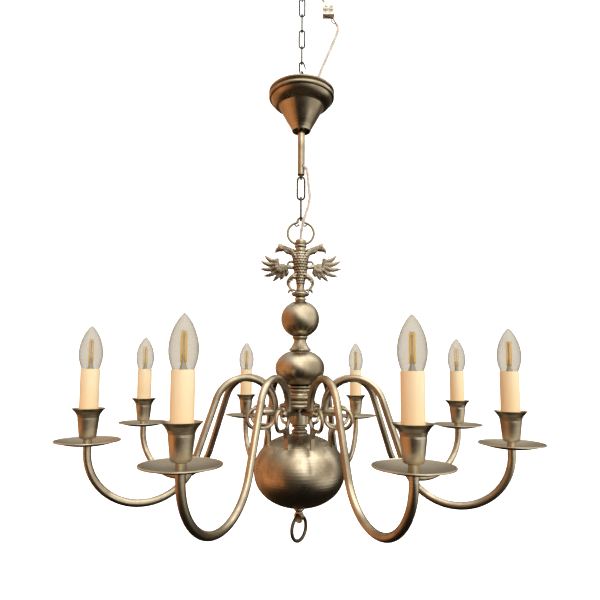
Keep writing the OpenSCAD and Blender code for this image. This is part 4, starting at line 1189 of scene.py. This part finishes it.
class CHANDELIER_OT_bulbs(bpy.types.Operator):
    """Candle bulbs: thin glass, stem, light strips on their wires and a screw cap"""

    bl_idname = "chandelier.bulbs"
    bl_label = "Candle bulbs"

    def execute(self, context):
        s = context.scene.chandelier_candles
        parts = [self.glass(), self.stem(), self.strips(s.filaments), self.wires(s.filaments), self.cap()]
        for i in range(ARM_COUNT):
            node = f"bulb_{i + 1}"
            spot = middle(node)
            turn = math.atan2(spot.y, spot.x)
            for data, slot_name in parts:
                piece = bpy.data.objects.new(f"{node}_{data.name}", data)
                context.scene.collection.objects.link(piece)
                place = Matrix.Translation((spot.x, spot.y, SLEEVE_TOP))
                piece.matrix_world = place @ Matrix.Rotation(turn + 0.4 * i, 4, "Z")
                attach(piece, f"bulb_body_{i + 1}")
                if data.name == "glass":
                    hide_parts(node)
        return {"FINISHED"}

    def form(self, name, bm, material, slot_name="bulb_glass"):
        made = mesh_object(name, bm, material)
        data = made.data
        bpy.data.objects.remove(made)
        return data, slot_name

    def outline(self, inset, count=26):
        low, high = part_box("bulb_1")
        tall = (high.z - SLEEVE_TOP) / MM - inset
        wide = (high.x - low.x) / 2 / MM - inset
        neck, belly = 12.6 - inset, tall * 0.34
        points = []
        for k in range(count + 1):
            h = tall * k / count
            if h < belly:
                points.append((neck + (wide - neck) * math.sin(math.pi / 2 * h / belly) ** 0.9, h))
            else:
                t = (h - belly) / (tall - belly)
                points.append((wide * max(0.0, math.cos(math.pi / 2 * t ** 1.04)) ** 0.74, h))
        points[-1] = (0, tall)
        return points

    def glass(self):
        outer = self.outline(0.0)
        bm = bmesh.new()
        shape = [(7.2, -13.2), (9.2, -12.6), (10.6, -9.0), (11.6, -4.0), *outer]
        add_lathe(bm, [(r * MM, z * MM) for r, z in shape], sides=56)
        return self.form("glass", bm, bulb_glass("bulb_glass"))

    def stem(self):
        bm = bmesh.new()
        shape = [
            (6.6, -12.5), (6.4, -6), (4.6, 1), (3.0, 6), (2.3, 10), (2.2, 14), (2.8, 16.5), (2.2, 18.5), (1.2, 20),
            (1.0, 38), (1.7, 40), (1.1, 43), (0, 43.6),
        ]
        add_lathe(bm, [(r * MM, z * MM) for r, z in shape], sides=28)
        return self.form("stem", bm, moulded_plastic("stem_glass", (0.78, 0.78, 0.74), 0.12, 0.2))

    def strips(self, count):
        bm = bmesh.new()
        for k in range(count):
            a = 2 * math.pi * k / count
            foot = Vector((4.0 * math.cos(a), 4.0 * math.sin(a), 9.0)) * MM
            head = Vector((3.6 * math.cos(a), 3.6 * math.sin(a), 44.0)) * MM
            route = [foot.lerp(head, t / 12) for t in range(13)]
            add_tube(bm, route, [0.75 * MM] * 13, [0.75 * MM] * 13, 10, Vector((math.cos(a), math.sin(a), 0)))
        return self.form("strips", bm, light_strip("amber_strip"))

    def wires(self, count):
        bm = bmesh.new()
        for k in range(count):
            a = 2 * math.pi * k / count
            foot = ((2.0, 12), (3.2, 8.6), (4.0, 9.0))
            head = ((3.6, 44), (2.2, 45), (0.6, 43))
            for points in (foot, head):
                places = [Vector((r * math.cos(a), r * math.sin(a), z)) * MM for r, z in points]
                route = smooth_route(places, 6)
                add_tube(bm, route, [0.28 * MM] * len(route), [0.28 * MM] * len(route), 6, Vector((0, 0, 1)))
        return self.form("wires", bm, plated_steel("bulb_wire"))

    def cap(self):
        bm = bmesh.new()
        shape = [(0, -40), (2.4, -39.8), (3.2, -38.6), (4.6, -37.6), (5.6, -36.6)]
        for k in range(7):
            z = -36 + k * 2.8
            shape += [(6.1, z), (6.8, z + 0.9), (6.8, z + 1.7), (6.1, z + 2.6)]
        shape += [(6.7, -15.2), (7.0, -14.2), (7.3, -13.2), (0, -13.2)]
        add_lathe(bm, [(r * MM, z * MM) for r, z in shape], sides=36)
        return self.form("cap", bm, plated_steel("bulb_cap"))


# ---- Panel, registration and the run ----


OPERATORS = (
    CHANDELIER_OT_stage,
    CHANDELIER_OT_supply,
    CHANDELIER_OT_inner_flex,
    CHANDELIER_OT_hanging_gear,
    CHANDELIER_OT_rod_and_canopy,
    CHANDELIER_OT_column,
    CHANDELIER_OT_eagle,
    CHANDELIER_OT_arms,
    CHANDELIER_OT_candles,
    CHANDELIER_OT_bulbs,
)


class CHANDELIER_PT_panel(bpy.types.Panel):
    """Lists the chandelier's pieces and their settings"""

    bl_label = "Chandelier"
    bl_idname = "CHANDELIER_PT_panel"
    bl_space_type = "VIEW_3D"
    bl_region_type = "UI"
    bl_category = "Chandelier"

    def draw(self, context):
        for name, group in SETTINGS.items():
            box = self.layout.box()
            for prop in group.__annotations__:
                box.prop(getattr(context.scene, name), prop)
        for operator in OPERATORS:
            self.layout.operator(operator.bl_idname)


CLASSES = (*SETTINGS.values(), *OPERATORS, CHANDELIER_PT_panel)


def register():
    for item in CLASSES:
        bpy.utils.register_class(item)
    for name, group in SETTINGS.items():
        setattr(bpy.types.Scene, name, PointerProperty(type=group))


def unregister():
    for name in SETTINGS:
        delattr(bpy.types.Scene, name)
    for item in reversed(CLASSES):
        bpy.utils.unregister_class(item)


def main():
    register()
    for operator in OPERATORS:
        group, name = operator.bl_idname.split(".")
        getattr(getattr(bpy.ops, group), name)()


if __name__ == "__main__":
    main()
